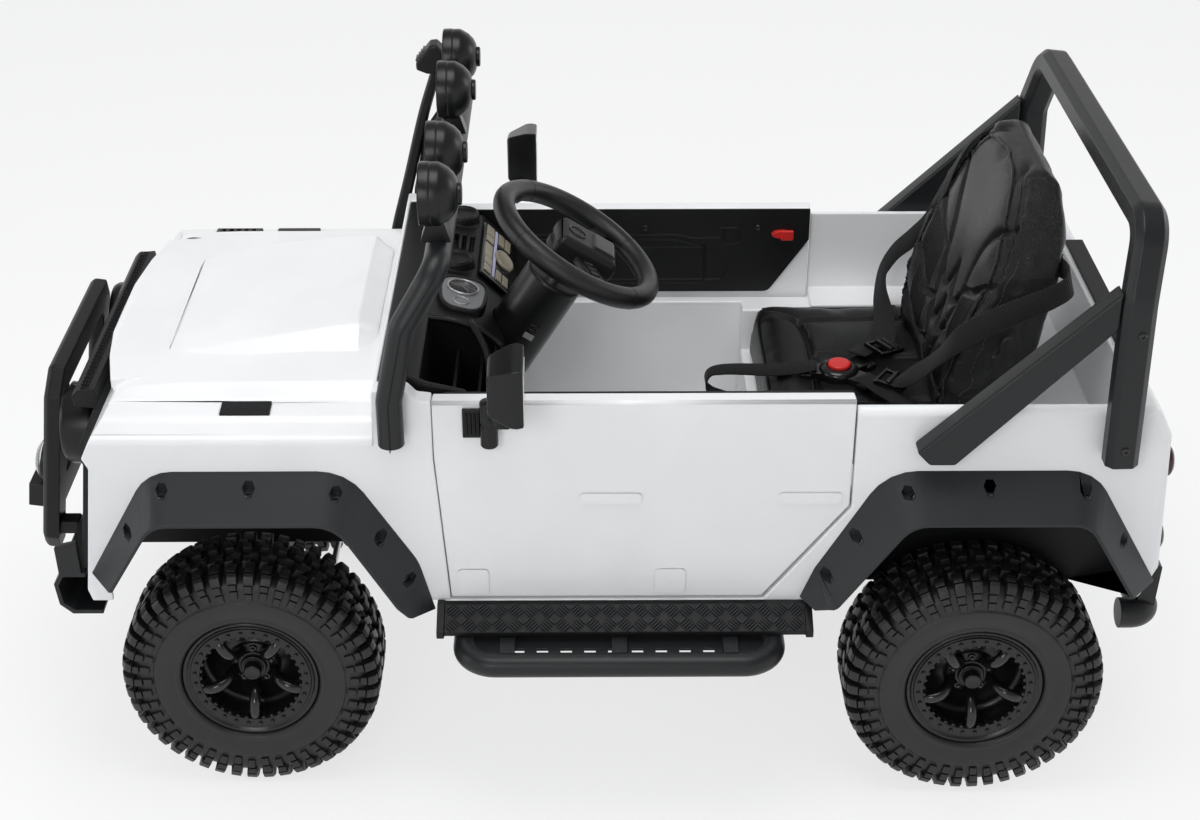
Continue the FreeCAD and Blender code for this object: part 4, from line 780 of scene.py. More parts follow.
def nearest_on(lines, across, up):
    """Distance from a point to the nearest of some polylines, all flat."""
    best = math.inf
    for line in lines:
        for (ax, ay), (bx, by) in zip(line, line[1:]):
            dx, dy = bx - ax, by - ay
            t = ease((across - ax) * dx + (up - ay) * dy, 0.0, dx * dx + dy * dy)
            best = min(best, math.hypot(across - ax - dx * t, up - ay - dy * t))
    return best


def flat_curve(points, steps=6):
    return [(p.x, p.y) for p in curved([(a, b, 0) for a, b in points], steps)]


def both_sides(lines):
    return [line for half in lines for line in (half, [(-a, b) for a, b in half])]


def sewn(name, lines, pad, node, lift=0.0002):
    """Thread stitches along lines on a pad, in black thread painted a lighter grey as a highlight."""
    line = [(-0.0021, 0, -0.0004), (-0.0013, 0, 0.0002), (0, 0, 0.0004), (0.0013, 0, 0.0002), (0.0021, 0, -0.0004)]
    one = small_part("stitch_one", [(swept, line, [0.0003, 0.0005, 0.00055, 0.0005, 0.0003], 6)])
    added(along(name, one, lines, STITCH_PITCH, "thread", pad, lift=lift), node)


def piped(name, lines, radius, pad, node, lift):
    """Leather piping along lines on a pad."""
    one = rod_bit("piping_one", 0.0030, radius, 8)
    added(along(name, one, lines, 0.0052, "leather", pad, lift=lift), node)


# On the seat back (across, up), on the cushion (forward, across)
BACK_SEAMS = [flat_curve(line) for line in (
    [(0.116, 0.600), (0.086, 0.580), (0.062, 0.540), (0.049, 0.490), (0.034, 0.446), (0.016, 0.402), (0.0, 0.368)],
    [(0.049, 0.492), (0.034, 0.478), (0.020, 0.474), (0.010, 0.488), (0.0, 0.510)],
    [(0.034, 0.448), (0.022, 0.434), (0.012, 0.438), (0.006, 0.450), (0.0, 0.466)],
    [(0.134, 0.545), (0.110, 0.528), (0.084, 0.512), (0.052, 0.503)],
    [(0.137, 0.478), (0.108, 0.456), (0.076, 0.440), (0.036, 0.452)],
    [(0.134, 0.420), (0.106, 0.400), (0.066, 0.388), (0.018, 0.405)])]
BACK_PIPING = flat_curve([(0.0, 0.652), (0.046, 0.648), (0.070, 0.637), (0.104, 0.602), (0.130, 0.552),
                          (0.136, 0.490), (0.136, 0.430), (0.126, 0.372)])
CUSHION_SEAMS = [flat_curve(line, 8) for line in (
    [(-0.2700, 0.0), (-0.2690, 0.070), (-0.2640, 0.120), (-0.2520, 0.142), (-0.2360, 0.152), (-0.2160, 0.160)],
    [(-0.4300, 0.142), (-0.3500, 0.142), (-0.2700, 0.136), (-0.2640, 0.120)],
    [(-0.4300, 0.052), (-0.3400, 0.052), (-0.2700, 0.052)])]


def back_x(z):
    """X of the leaning backrest at a height."""
    return BACK_FOOT[0] + (BACK_FOOT[1] - z) * BACK_LEAN


def skin_of(piece):
    return BVHTree.FromPolygons([v.co for v in piece.data.vertices], [p.vertices[:] for p in piece.data.polygons])


def seat_back():
    """The backrest: wings and hips stand out, the middle is hollow, seams sink and panels puff between them."""
    piece = stuffed("seat_back", 0.0052)
    seams = both_sides(BACK_SEAMS)
    piping = both_sides([BACK_PIPING])
    front = Vector((0.97, 0, 0.24)).normalized()
    for vertex in piece.data.vertices:
        top = ease(vertex.co.z, 0.54, 0.68)
        vertex.co.z -= 0.020 * top * top * (3 - 2 * top)
    piece.data.update()
    normals = [v.normal.copy() for v in piece.data.vertices]
    for vertex, normal in zip(piece.data.vertices, normals):
        _, y, z = vertex.co
        facing = ease(normal.dot(front), 0.35, 0.70)
        if not facing:
            continue
        side = abs(y)
        wing = 0.012 * hump(side - 0.145, 0.026) * hump(z - 0.485, 0.085)
        hip = 0.006 * hump(side - 0.140, 0.028) * hump(z - 0.385, 0.040)
        hollow = 0.007 * hump(side, 0.085) * hump(z - 0.500, 0.110)
        fall = 0.022 * ease(side, 0.075, 0.150) ** 2 * ease(z, 0.500, 0.560)
        near = nearest_on(seams, y, z)
        edge = nearest_on(piping, y, z)
        groove = 0.0052 * hump(near, 0.0032) + 0.0042 * hump(edge, 0.0028)
        puff = 0.0052 * (1 - math.exp(-min(near, edge) / 0.011))
        vertex.co += (front * (wing + hip - hollow - fall + puff - 0.0035) - normal * groove) * facing
    leathered(piece, "seat_back")

    def on_face(lines):
        return [[(back_x(z) + 0.02, y, z) for y, z in line] for line in lines]

    rows = both_sides([[(a + gap, b) for a, b in BACK_PIPING] for gap in (STITCH_GAP, -STITCH_GAP)])
    sewn("back_edge_stitches", on_face(rows), piece, "seat_back")
    sewn("back_side_stitches", [[(back_x(z), hand * 0.175, z) for z in (0.60, 0.55, 0.50, 0.45, 0.40)]
                                for hand in (1, -1)], piece, "seat_back", 0.0003)
    inner = both_sides([[(a, b + STITCH_GAP) for a, b in line] for line in BACK_SEAMS[3:]]
                       + [[(a + 0.0044, b + 0.001) for a, b in BACK_SEAMS[0]]])
    sewn("back_quilt_stitches", on_face(inner), piece, "seat_back")
    ribs = []
    for number in range(12):
        run = 0.010 + number * 0.0052
        y = 0.052 + run
        ribs += [[(y, 0.4460 + run * 0.34), (y + 0.003, 0.4970 + run * 0.36)],
                 [(y - 0.012, 0.4000 + run * 0.18), (y - 0.010, 0.4330 + run * 0.30)]]
    added(along("back_insert_ribs", rod_bit("rib_one", 0.0022, 0.0014, 8, 0.0006), on_face(both_sides(ribs)),
                0.0040, "leather", piece), "seat_back")
    piped("back_piping", on_face(piping), 0.0019, piece, "seat_back", 0.0006)
    return piece


def seat_cushion():
    """The cushion: a shallow dish with sunk seams and puffed panels."""
    piece = stuffed("seat_cushion", 0.0056)
    seams = [[(a, hand * b) for a, b in line] for line in CUSHION_SEAMS for hand in (1, -1)]
    piece.data.update()
    normals = [v.normal.copy() for v in piece.data.vertices]
    for vertex, normal in zip(piece.data.vertices, normals):
        x, y, _ = vertex.co
        facing = ease(normal.z, 0.40, 0.75)
        if not facing:
            continue
        near = nearest_on(seams, x, y)
        groove = 0.0058 * hump(near, 0.0034)
        dish = 0.006 * hump(x + 0.345, 0.07) * hump(y, 0.10)
        puff = 0.0050 * (1 - math.exp(-near / 0.016))
        vertex.co.z += facing * (puff - groove - dish - 0.0015)
    leathered(piece, "seat_cushion")
    sewn("cushion_stitches", [[(a, hand * (b + STITCH_GAP), 0.372) for a, b in line]
                              for line in CUSHION_SEAMS for hand in (1, -1)], piece, "seat_cushion")
    edge = [curved([(-0.430, hand * 0.1790, 0.3600), (-0.290, hand * 0.1790, 0.3600), (-0.240, hand * 0.1780, 0.3590),
                    (-0.2205, hand * 0.170, 0.3560), (-0.2140, hand * 0.150, 0.3540), (-0.2120, 0.0, 0.3530)], 8)
            for hand in (1, -1)]
    piped("cushion_piping", edge, 0.0021, piece, "seat_cushion", 0.0007)
    return piece


def ribbon(name, points, ups):
    """Webbing through points, lying flat against the given directions, with its UV map in metres."""
    line, tops = curved(points, 7), curved(ups, 7)
    half, deep = WEBBING_WIDTH / 2, WEBBING_THICKNESS / 2
    outline = [(-half, 0), (-half + deep, -deep), (0, -deep * 1.1), (half - deep, -deep), (half, 0),
               (half - deep, deep), (0, deep * 1.1), (-half + deep, deep)]
    bm = bmesh.new()
    layer = bm.loops.layers.uv.new("band")
    rings, marks, run = [], [], 0.0
    for i, point in enumerate(line):
        ahead = heading(line, i)
        across = ahead.cross(tops[i]).normalized()
        top = across.cross(ahead)
        run += (point - line[i - 1]).length if i else 0.0
        rings.append([point + across * a + top * b for a, b in outline])
        marks.append([(a, run) for a, b in outline])
    rows = loft(bm, rings)
    at = {v: mark for row, spots in zip(rows, marks) for v, mark in zip(row, spots)}
    for face in bm.faces:
        for corner in face.loops:
            corner[layer].uv = at[corner.vert]
    bmesh.ops.recalc_face_normals(bm, faces=bm.faces)
    piece = finish_mesh(bm, name)
    piece.data.materials.append(MATERIALS["webbing"])
    piece.data.shade_smooth()
    return piece


def laid_over(band, trees):
    """Lifts the eight-point rings of a band off the padded pieces it crosses, each pair of faces together."""
    gap, reach = 0.0012, 0.04
    spots = band.data.vertices
    for start in range(0, len(spots), 8):
        for places in ((0,), (1, 7), (2, 6), (3, 5), (4,)):
            for tree in trees:
                point = spots[start + places[0]].co
                near, normal, _, away = tree.find_nearest(point)
                depth = (point - near).dot(normal)
                if depth < gap and away < reach:
                    for place in places:
                        spots[start + place].co += normal * (gap - depth)
    return band


def adjuster(name, place):
    """A ladder buckle for the webbing."""
    return solid(name, "gloss", [(block, low, high, place) for low, high in (
        ((-0.017, -0.0165, 0), (0.017, -0.0125, 0.0045)), ((-0.017, 0.0125, 0), (0.017, 0.0165, 0.0045)),
        ((-0.017, -0.0165, 0), (-0.0135, 0.0165, 0.0045)), ((0.0135, -0.0165, 0), (0.017, 0.0165, 0.0045)),
        ((-0.0035, -0.014, 0.001), (0.0015, 0.014, 0.0070)), ((0.006, -0.014, 0.0015), (0.010, 0.014, 0.0060)))],
        0.0009)


# Each band's points, and the way that its face looks at each of them
BANDS = (
    ("shoulder_band_left", [
        (-0.4940, 0.1100, 0.5600), (-0.5060, 0.1350, 0.5600), (-0.5040, 0.1620, 0.5570), (-0.4830, 0.1720, 0.5480),
        (-0.4560, 0.1740, 0.5370), (-0.4240, 0.1690, 0.5180), (-0.3980, 0.1560, 0.4930), (-0.3840, 0.1330, 0.4620),
        (-0.3740, 0.1050, 0.4320), (-0.3660, 0.0750, 0.4060), (-0.3580, 0.0520, 0.3890), (-0.3500, 0.0400, 0.3805)], [
        (-1, 0, 0.1), (-0.9, 0.5, 0.1), (-0.4, 1, 0.1), (0, 1, 0.1), (0.1, 1, 0.2), (0.5, 0.9, 0.3), (0.8, 0.6, 0.3),
        (0.95, 0, 0.3), (0.95, 0, 0.3), (0.9, 0.2, 0.4), (0.6, 0.1, 0.8), (0.1, 0, 1)]),
    ("shoulder_band_right", [
        (-0.490, -0.090, 0.624), (-0.472, -0.108, 0.622), (-0.450, -0.115, 0.608), (-0.435, -0.128, 0.576),
        (-0.423, -0.138, 0.534), (-0.412, -0.146, 0.493), (-0.395, -0.161, 0.464), (-0.378, -0.174, 0.439),
        (-0.365, -0.174, 0.413), (-0.360, -0.150, 0.396), (-0.360, -0.112, 0.386), (-0.358, -0.072, 0.382),
        (-0.3500, -0.0400, 0.3805)], [
        (-0.3, -0.2, 1), (0.1, -0.5, 1), (0.7, -0.4, 0.5), (0.9, -0.2, 0.3), (0.9, 0.1, 0.3), (0.8, 0.5, 0.3),
        (0.7, 0.5, 0.5), (0.8, 0.3, 0.4), (0.9, 0.2, 0.3), (0.8, 0.1, 0.5), (0.5, 0, 0.8), (0.2, 0, 1), (0.1, 0, 1)]),
    ("lap_band_left", [
        (-0.318, 0.026, 0.3795), (-0.338, 0.052, 0.3760), (-0.362, 0.086, 0.3745), (-0.384, 0.128, 0.3740),
        (-0.398, 0.160, 0.3700), (-0.404, 0.1800, 0.3560), (-0.406, 0.1885, 0.335)], [
        (0, 0, 1), (0, 0, 1), (0, 0, 1), (0, 0.1, 1), (0, 0.4, 1), (0, 1, 0.6), (0, 1, 0)]),
    ("lap_band_right", [
        (-0.318, -0.026, 0.3795), (-0.338, -0.056, 0.3760), (-0.356, -0.096, 0.3745), (-0.366, -0.135, 0.3740),
        (-0.370, -0.162, 0.3700), (-0.371, -0.1800, 0.3560), (-0.371, -0.1885, 0.335)], [
        (0, 0, 1), (0, 0, 1), (0, 0, 1), (0, -0.1, 1), (0, -0.4, 1), (0, -1, 0.6), (0, -1, 0)]),
    ("crotch_band", [
        (-0.2700, 0.0000, 0.3790), (-0.2450, -0.0020, 0.3740), (-0.2150, -0.0030, 0.3715), (-0.1850, -0.0030, 0.3725),
        (-0.1620, -0.0030, 0.3720), (-0.1480, -0.0010, 0.3690), (-0.1440, 0.0020, 0.3590), (-0.1500, 0.0050, 0.3490),
        (-0.1700, 0.0080, 0.3420), (-0.1950, 0.0100, 0.3330), (-0.2080, 0.0100, 0.3250)], [
        (0, 0, 1), (0, 0.1, 1), (0, 0.1, 1), (0, 0.05, 1), (0.2, 0, 1), (0.8, 0, 0.6), (1, 0, 0), (0.5, 0, -0.9),
        (0.2, 0, -1), (0.3, 0, -1), (0.4, 0, -1)]))


def harness(*pads):
    """Five bands laid over the pads, and the buckle where they meet."""
    trees = [skin_of(pad) for pad in pads]
    bands = [laid_over(ribbon(*band), trees) for band in BANDS]
    fitted(joined("harness_straps_dressed", *bands), "harness_straps")

    buckle_x = -0.2955
    centre = shift(buckle_x, 0, 0.3650) @ turn(90, "X")
    shapes = [(turned, [(0, -0.0015), (0.0225, -0.0015), (0.0235, 0.002), (0.0230, 0.009), (0.0205, 0.0125),
                        (0.0165, 0.0140), (0.0150, 0.0140), (0.0145, 0.0120), (0, 0.0120)], 40, centre)]
    for angle, length in ((-8, 0.044), (142, 0.046), (218, 0.046)):
        place = shift(buckle_x, 0, 0.3655) @ turn(angle, "Z")
        shapes += [(block, (0.010, -0.0125, 0), (length - 0.010, 0.0125, 0.0085), place),
                   (block, (length - 0.014, -0.0155, 0.0005), (length, 0.0155, 0.0065), place)]
    housing = solid("buckle_housing", "gloss", shapes, 0.0014)
    cap = [(0, 0.0110), (0.0132, 0.0110), (0.0132, 0.0160), (0.0122, 0.0176), (0.0100, 0.0180), (0, 0.0183)]
    button = solid("buckle_button", "red", [(turned, cap, 40, centre)])
    ladders = [adjuster("adjuster_" + side, shift(-0.352, hand * 0.0395, 0.3790) @ turn(180 - hand * 32, "Z")
                        @ turn(4, "Y")) for side, hand in SIDES]
    fitted(joined("harness_buckle_dressed", housing, button, *ladders), "harness_buckle")


# Steering wheel, column and dashboard
STEER_RAKE = math.radians(32)
STEER_AXIS = Vector((-math.sin(STEER_RAKE), 0, math.cos(STEER_RAKE)))
STEER_CENTRE = (0.0025, 0, 0.532)


def column_place():
    """X to the left, Y up the column to the driver, Z to the top of the steering wheel."""
    across = Vector((0, 1, 0))
    return shift(*STEER_CENTRE) @ Matrix((across, STEER_AXIS, across.cross(STEER_AXIS))).transposed().to_4x4()


def steering_wheel():
    """Round rim with four moulding seams, a raised pad on two slotted spokes, and the hub behind."""
    radius, thick = 0.093, 0.0121
    rim = solid("steering_rim", "leather_grip", [(turned, [
        (radius + thick * math.cos(t), thick * math.sin(t)) for t in angles(20)], 96)])
    seam = [(thick, -0.0004), (thick + 0.0003, 0), (thick, 0.0004)]
    seam_one = small_part("rim_seam", [(turned, seam, 28, shift(radius, 0, 0) @ turn(90, "X"), False)])
    seams = around("steering_rim_seams", seam_one, 4, "black", math.pi / 4)
    pad = solid("steering_pad", "black", [(loft, [
        [Vector((a * s, out, b * s - 0.008)) for a, b in (
            (-0.029, -0.040), (0.029, -0.040), (0.031, 0.034), (-0.031, 0.034))]
        for out, s in ((-0.012, 1.0), (0.004, 1.0), (0.012, 0.86))])], 0.0055, 4)
    lower = solid("steering_pad_lower", "satin", [
        (block, (-0.0205, 0.004, -0.0420), (0.0205, 0.0145, -0.012))], 0.0045, 4)
    centre = shift(0, 0, 0.006)
    ring = solid("pad_ring", "satin", [
        (turned, [(0.0112, 0.0110), (0.0112, 0.0128), (0.0102, 0.0130), (0.0092, 0.0128), (0.0092, 0.0110)],
         40, centre),
        (turned, [(0.0065, 0.0110), (0.0065, 0.0124), (0.0050, 0.0124), (0.0050, 0.0110)], 32, centre)])
    shapes = []
    for side in (-1, 1):
        place = turn(side * 24, "Y")
        shapes.append((loft, [[place @ Vector((side * a, b, c)) for b, c in (
            (-0.010, -0.015 + d), (-0.001, -0.015 + d), (-0.001, 0.013 - d), (-0.010, 0.013 - d))]
            for a, d in ((0.016, 0.0), (0.048, 0.002), (0.070, 0.0045), (0.088, 0.004))]))
        for number in range(3):
            middle = side * (0.036 + number * 0.0098)
            shapes.append((block, (middle - 0.0041, -0.002, -0.0068), (middle + 0.0041, 0.0008, 0.0060), place))
    spokes = solid("steering_spokes", "satin", shapes, 0.0018, 3)
    hub = solid("steering_hub", "black", [(turned, [
        (0, -0.020), (0.026, -0.020), (0.030, -0.016), (0.030, -0.008), (0.024, -0.004), (0, -0.004)], 48)], 0.0008)
    whole = joined("steering_wheel_dressed", rim, seams, pad, lower, ring, spokes, hub)
    fitted(moved(whole, column_place()), "steering_wheel")


def column_cover():
    """Tube round the column, with two slots and a latch on each side."""
    tube = solid("column_tube", "satin", [(turned, [
        (0.0340, -0.178), (0.0340, -0.050), (0.0325, -0.0465), (0.0290, -0.0460), (0.0, -0.0460), (0.0, -0.178)],
        72)], 0.0008)
    flanks = [side * 0.0335 for side in (-1, 1)]
    slots = solid("column_slots", "gloss", [
        (block, (x - 0.0010, run - 0.0019, -0.0105), (x + 0.0010, run + 0.0019, -0.0015))
        for x in flanks for run in (-0.098, -0.104)])
    latch = solid("column_latch", "steel", [
        (block, (x - 0.0013, -0.1150, -0.0115), (x + 0.0013, -0.1080, 0.0005)) for x in flanks], 0.0006)
    fitted(moved(joined("column_cover_dressed", tube, slots, latch), column_place()), "column_cover")


def vent_fins():
    """Bars over the two round vents on top of the dashboard."""
    lines = []
    for y in (-0.196, -0.072):
        for x in (-0.010, -0.005, 0.0, 0.005, 0.010):
            half = math.sqrt(0.0185 ** 2 - x ** 2)
            lines.append([(0.176 - SHIFT + x, y + end, 0.4795) for end in (-half, half)])
    one = small_part("fin_run", [(swept, [(-0.0021, 0, 0), (0.0021, 0, 0)], 0.0009, 6)])
    added(along("dash_vent_fins", one, lines, 0.004, "black"), "dashboard")


def radio():
    """The slanted radio panel: keys, a pale strip and a dial on a gloss plate, with blank faces."""
    middle = Vector((0.132 - SHIFT, -0.124, 0.4565))
    normal, up, side = Vector((-0.7071, 0, 0.7071)), Vector((0.7071, 0, 0.7071)), Vector((0, 1, 0))
    face = (Matrix.Translation(middle) @ Matrix((side, up, normal)).transposed().to_4x4()
            @ Matrix.Diagonal((1.0, 1.18, 1.0, 1.0)))
    base = 0.0010
    plate = solid("radio_plate", "gloss", [(block, (-0.068, -0.0184, -0.0028), (0.068, 0.0184, 0.0018), face)],
                  0.0016, 3)
    shapes = [(block, (near, 0.0060, base), (away, 0.0158, 0.0036), face)
              for near, away in ((-0.062, -0.038), (-0.036, -0.020), (0.022, 0.040), (0.042, 0.060))]
    for near, away in ((-0.062, -0.034), (0.036, 0.060)):
        shapes += [(block, (near, -0.0158, base), (away, -0.0085, 0.0036), face),
                   (block, (near, -0.0072, base), (away, 0.0002, 0.0036), face)]
    shapes.append((block, (-0.016, 0.0060, base), (0.018, 0.0158, 0.0026), face))
    keys = solid("radio_keys", "gold", shapes, 0.0009)
    strip = solid("radio_strip", "lilac", [(block, (-0.062, 0.0014, base), (0.060, 0.0048, 0.0030), face)], 0.0005)
    knob = face @ shift(0.0, -0.0082, 0) @ Matrix.Diagonal((1.65, 1.0, 1.0, 1.0)) @ turn(90, "X")
    dial = solid("radio_dial", "gold", [(turned, [
        (0, 0.001), (0.0118, 0.001), (0.0118, 0.0052), (0.0108, 0.0062), (0.0094, 0.0058), (0.0080, 0.0050),
        (0, 0.0050)], 40, knob)])
    fitted(joined("dash_radio_dressed", plate, keys, strip, dial), "dash_radio")


def gauge():
    """Rounded-square gauge pod: a large and a small ring on a grey plate, with plain marks and a needle."""
    pod = shift(0.1300, 0.0080, 0.4722) @ turn(-14, "Y")
    power = 3.2
    outline = []
    for t in angles(48):
        size = (abs(math.cos(t)) ** power + abs(math.sin(t)) ** power) ** (-1 / power)
        outline.append((0.024 * size * math.cos(t) * (1 - 0.10 * math.sin(t)), 0.036 * size * math.sin(t)))

    def layers(rows):
        return [(loft, [[pod @ Vector((a * s, b * s, height)) for a, b in outline] for height, s in rows])]

    large, small = pod @ shift(0.001, -0.012, 0), pod @ shift(0.001, 0.020, 0)
    upright = turn(90, "X")
    housing = solid("gauge_housing", "black", layers((
        (-0.016, 1.20), (0.0025, 1.16), (0.0045, 1.10), (0.0044, 1.02), (0.0020, 1.0))))
    plate = solid("gauge_plate", "silver", layers(((0.0010, 1.02), (0.0030, 1.0), (0.0036, 0.97))))
    hoops = solid("gauge_hoops", "steel", [
        (turned, [(0.0182, 0.0030), (0.0182, 0.0058), (0.0172, 0.0066), (0.0162, 0.0058), (0.0162, 0.0030)],
         48, large @ upright),
        (turned, [(0.0092, 0.0030), (0.0092, 0.0046), (0.0084, 0.0046), (0.0084, 0.0030)], 36, small @ upright)])
    dark = solid("gauge_face", "gloss", [(turned, [
        (0, 0.0030), (0.0164, 0.0030), (0.0164, 0.0046), (0, 0.0046)], 48, large @ upright)])
    marks = solid("gauge_marks", "silver", [
        (block, (0.0118, -0.0003, 0.0044), (0.0148, 0.0003, 0.0050), large @ turn(k * 27 - 45, "Z"))
        for k in range(11)] + [
        (block, (-0.0005, -0.003, 0.0044), (0.0005, 0.0110, 0.0054), large @ turn(40, "Z"))])
    added(joined("gauge", housing, plate, hoops, dark, marks), "dashboard")


def bin_extras():
    """Dividers and a rolled rim in the open bins left of the gauge."""
    fins = solid("bin_dividers", "satin", [
        (block, (x, 0.071, 0.386), (x + 0.004, 0.206, 0.432 + (x - 0.104) * 0.25)) for x in (0.104, 0.130)], 0.001)
    rim = solid("bin_rim", "satin", [(swept, curved(points), radius, 12) for radius, points in (
        (0.0042, [(0.118, 0.068, 0.470), (0.100, 0.110, 0.455), (0.092, 0.160, 0.437), (0.088, 0.200, 0.418)]),
        (0.0036, [(0.168, 0.071, 0.478), (0.135, 0.0715, 0.473), (0.104, 0.0725, 0.460), (0.084, 0.074, 0.442)]),
        (0.0042, [(0.160, 0.204, 0.456), (0.132, 0.206, 0.449), (0.104, 0.206, 0.437), (0.088, 0.202, 0.422)]))])
    added(joined("dash_bins", fins, rim), "dashboard")


def door_extras():
    """Screws and beads of the door panels, and the sliding latches."""
    screw_z = 0.4475
    for side, hand in SIDES:
        low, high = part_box("door_%s_panel" % side)
        inner = low[1] if hand > 0 else high[1]
        name = "door_%s_" % side
        inwards = (0.0, -1.0 * hand, 0.0)
        spots = [[(x, inner, screw_z)] for x in (0.118, 0.016, -0.080, -0.218)]
        screws = rounded(along(name + "screws", screw_head("panel_screw", 0.0040, 0.0014, 16, 0.0018), spots, 0.0,
                               "gloss", up=inwards), 0)
        lines = [[(x, inner, z) for x, z in line] for line in (
            [(0.125, 0.4385), (-0.120, 0.4385), (-0.138, 0.4340), (-0.168, 0.4345)],
            [(0.125, 0.4320), (-0.116, 0.4320), (-0.140, 0.4250)],
            [(-0.076, 0.422), (-0.150, 0.422), (-0.153, 0.419), (-0.153, 0.376), (-0.150, 0.373), (-0.030, 0.373)],
            [(-0.176, 0.4475), (-0.194, 0.4475), (-0.194, 0.4260), (-0.176, 0.4260), (-0.176, 0.4475)])]
        beads = along(name + "beads", rod_bit("panel_bead", 0.0035, 0.0013, 8, 0.0003), lines, 0.006, "black",
                      up=inwards)
        added(joined(name + "trim", screws, beads), name + "panel")
        x, y, z = -0.2475, inner - hand * 0.0035, 0.440
        latch = solid(name + "latch_dressed", "red", [
            (loft, [[Vector((x + 0.0135 * math.cos(t) * s, y - hand * out, z + 0.0050 * math.sin(t) * s))
                     for t in angles(24)] for out, s in ((-0.0045, 1.0), (0.0015, 1.0), (0.0027, 0.90))]),
            (side_block, hand, (x - 0.0130, hand * y - 0.0052, z - 0.0062), (x + 0.0020, hand * y, z + 0.0062))],
            0.0012, 3)
        fitted(latch, name + "latch")


# Mirrors, lamps and trim
def mirrors():
    """Each mirror: head with its glass, a notched post, and a ribbed foot on the door."""
    door_y = 0.250
    for side, hand in SIDES:
        head = solid("mirror_head", "satin", [(loft, [[Vector((x, hand * y, z)) for y, z in (
            (0.2755 + s, 0.4760 + s), (0.3235 - s, 0.4820 + s), (0.3250 - s, 0.5460 - s), (0.2740 + s, 0.5520 - s))]
            for x, s in ((0.0532, 0.0010), (0.0600, 0.0), (0.0665, 0.0006), (0.0865, 0.0085), (0.0890, 0.0115))])],
            0.0016, 3, 20.0)
        glass = solid("mirror_glass", "mirror", [
            (side_block, hand, (0.0526, 0.280, 0.4870), (0.0560, 0.319, 0.5400))], 0.0008)
        post = solid("mirror_post", "satin", [(turned, [
            (0, 0.4285), (0.0082, 0.4285), (0.0092, 0.4300), (0.0092, 0.4520), (0.0080, 0.4528), (0.0080, 0.4555),
            (0.0092, 0.4565), (0.0092, 0.4780), (0.0082, 0.4796), (0, 0.4796)], 32,
            shift(0.0905, hand * (door_y + 0.012), 0) @ turn(90, "X"))])
        shapes = [(side_block, hand, (0.0832, door_y, 0.4325), (0.1180, door_y + 0.004, 0.4655))]
        shapes += [(side_block, hand, (x, door_y, 0.4365), (x + 0.0022, door_y + 0.0058, 0.4615))
                   for x in (0.1000, 0.1042, 0.1084, 0.1126)]
        shapes.append((loft, [[Vector((x + w, hand * y, z)) for w, z in (
            (-half, 0.4605), (half, 0.4605), (half, 0.4735), (-half, 0.4735))] for y, x, half in (
                (0.2580, 0.0905, 0.0075), (0.2720, 0.0830, 0.0060), (0.2860, 0.0750, 0.0065))]))
        shapes.append((side_block, hand, (0.0700, 0.280, 0.4660), (0.0800, 0.292, 0.4850)))
        foot = solid("mirror_bracket", "black", shapes, 0.0010)
        fitted(joined("mirror_%s_dressed" % side, head, glass, post, foot), "mirror_" + side)


LAMP_BAR_YS = (-0.198, -0.090, 0.090, 0.198)
LAMP_HEIGHT = 0.677
LAMP_FRONT = 0.189 - SHIFT


def facing_front(x, y, z):
    """A place for a turned shape whose stations count towards the front."""
    return shift(x, y, z) @ turn(-90, "Z")


def roof_lamps():
    """Four lamps: deep bezel, domed back with a small cap, seam round the widest part, foot on the bar."""
    case = [(0.0268, 0.0), (0.0310, 0.0), (0.0318, -0.0015), (0.0320, -0.0100), (0.0316, -0.0112), (0.0310, -0.0116),
            (0.0316, -0.0122), (0.0316, -0.0190), (0.0300, -0.0225), (0.0262, -0.0290), (0.0205, -0.0345),
            (0.0150, -0.0372), (0.0118, -0.0378), (0.0114, -0.0384), (0.0112, -0.0412), (0.0104, -0.0419),
            (0.0, -0.0419), (0.0, -0.0100), (0.0240, -0.0060), (0.0262, -0.0040)]
    glass = [(0, -0.0045), (0.0255, -0.0045), (0.0258, -0.0020), (0.0200, 0.0000), (0.0100, 0.0008), (0, 0.0010)]
    x = 0.174 - SHIFT
    cases, lenses = [], []
    for y in LAMP_BAR_YS:
        place = facing_front(LAMP_FRONT, y, LAMP_HEIGHT)
        cases.append((turned, case, 56, place))
        lenses.append((turned, glass, 48, place, False))
        cases.append((loft, [
            [Vector((x + a, y + b, z)) for a, b in ((-w, -0.009), (w, -0.009), (w, 0.009), (-w, 0.009))]
            for z, w in ((0.6285, 0.0150), (0.6330, 0.0140), (0.6500, 0.0085))]))
    fitted(solid("roof_lamps_dressed", "satin", cases, 0.0004), "roof_lamps")
    fitted(solid("roof_lamp_lenses_dressed", "clear", lenses), "roof_lamp_lenses")


def lamp_reflectors():
    """Bright bowls behind the clear lenses."""
    bowl = [(0, -0.0098), (0.0060, -0.0096), (0.0150, -0.0080), (0.0240, -0.0052), (0.0240, -0.0056),
            (0.0150, -0.0086), (0, -0.0104)]
    added(solid("roof_lamp_reflectors", "reflector", [
        (turned, bowl, 40, facing_front(LAMP_FRONT, y, LAMP_HEIGHT), False) for y in LAMP_BAR_YS]), "roof_lamps")


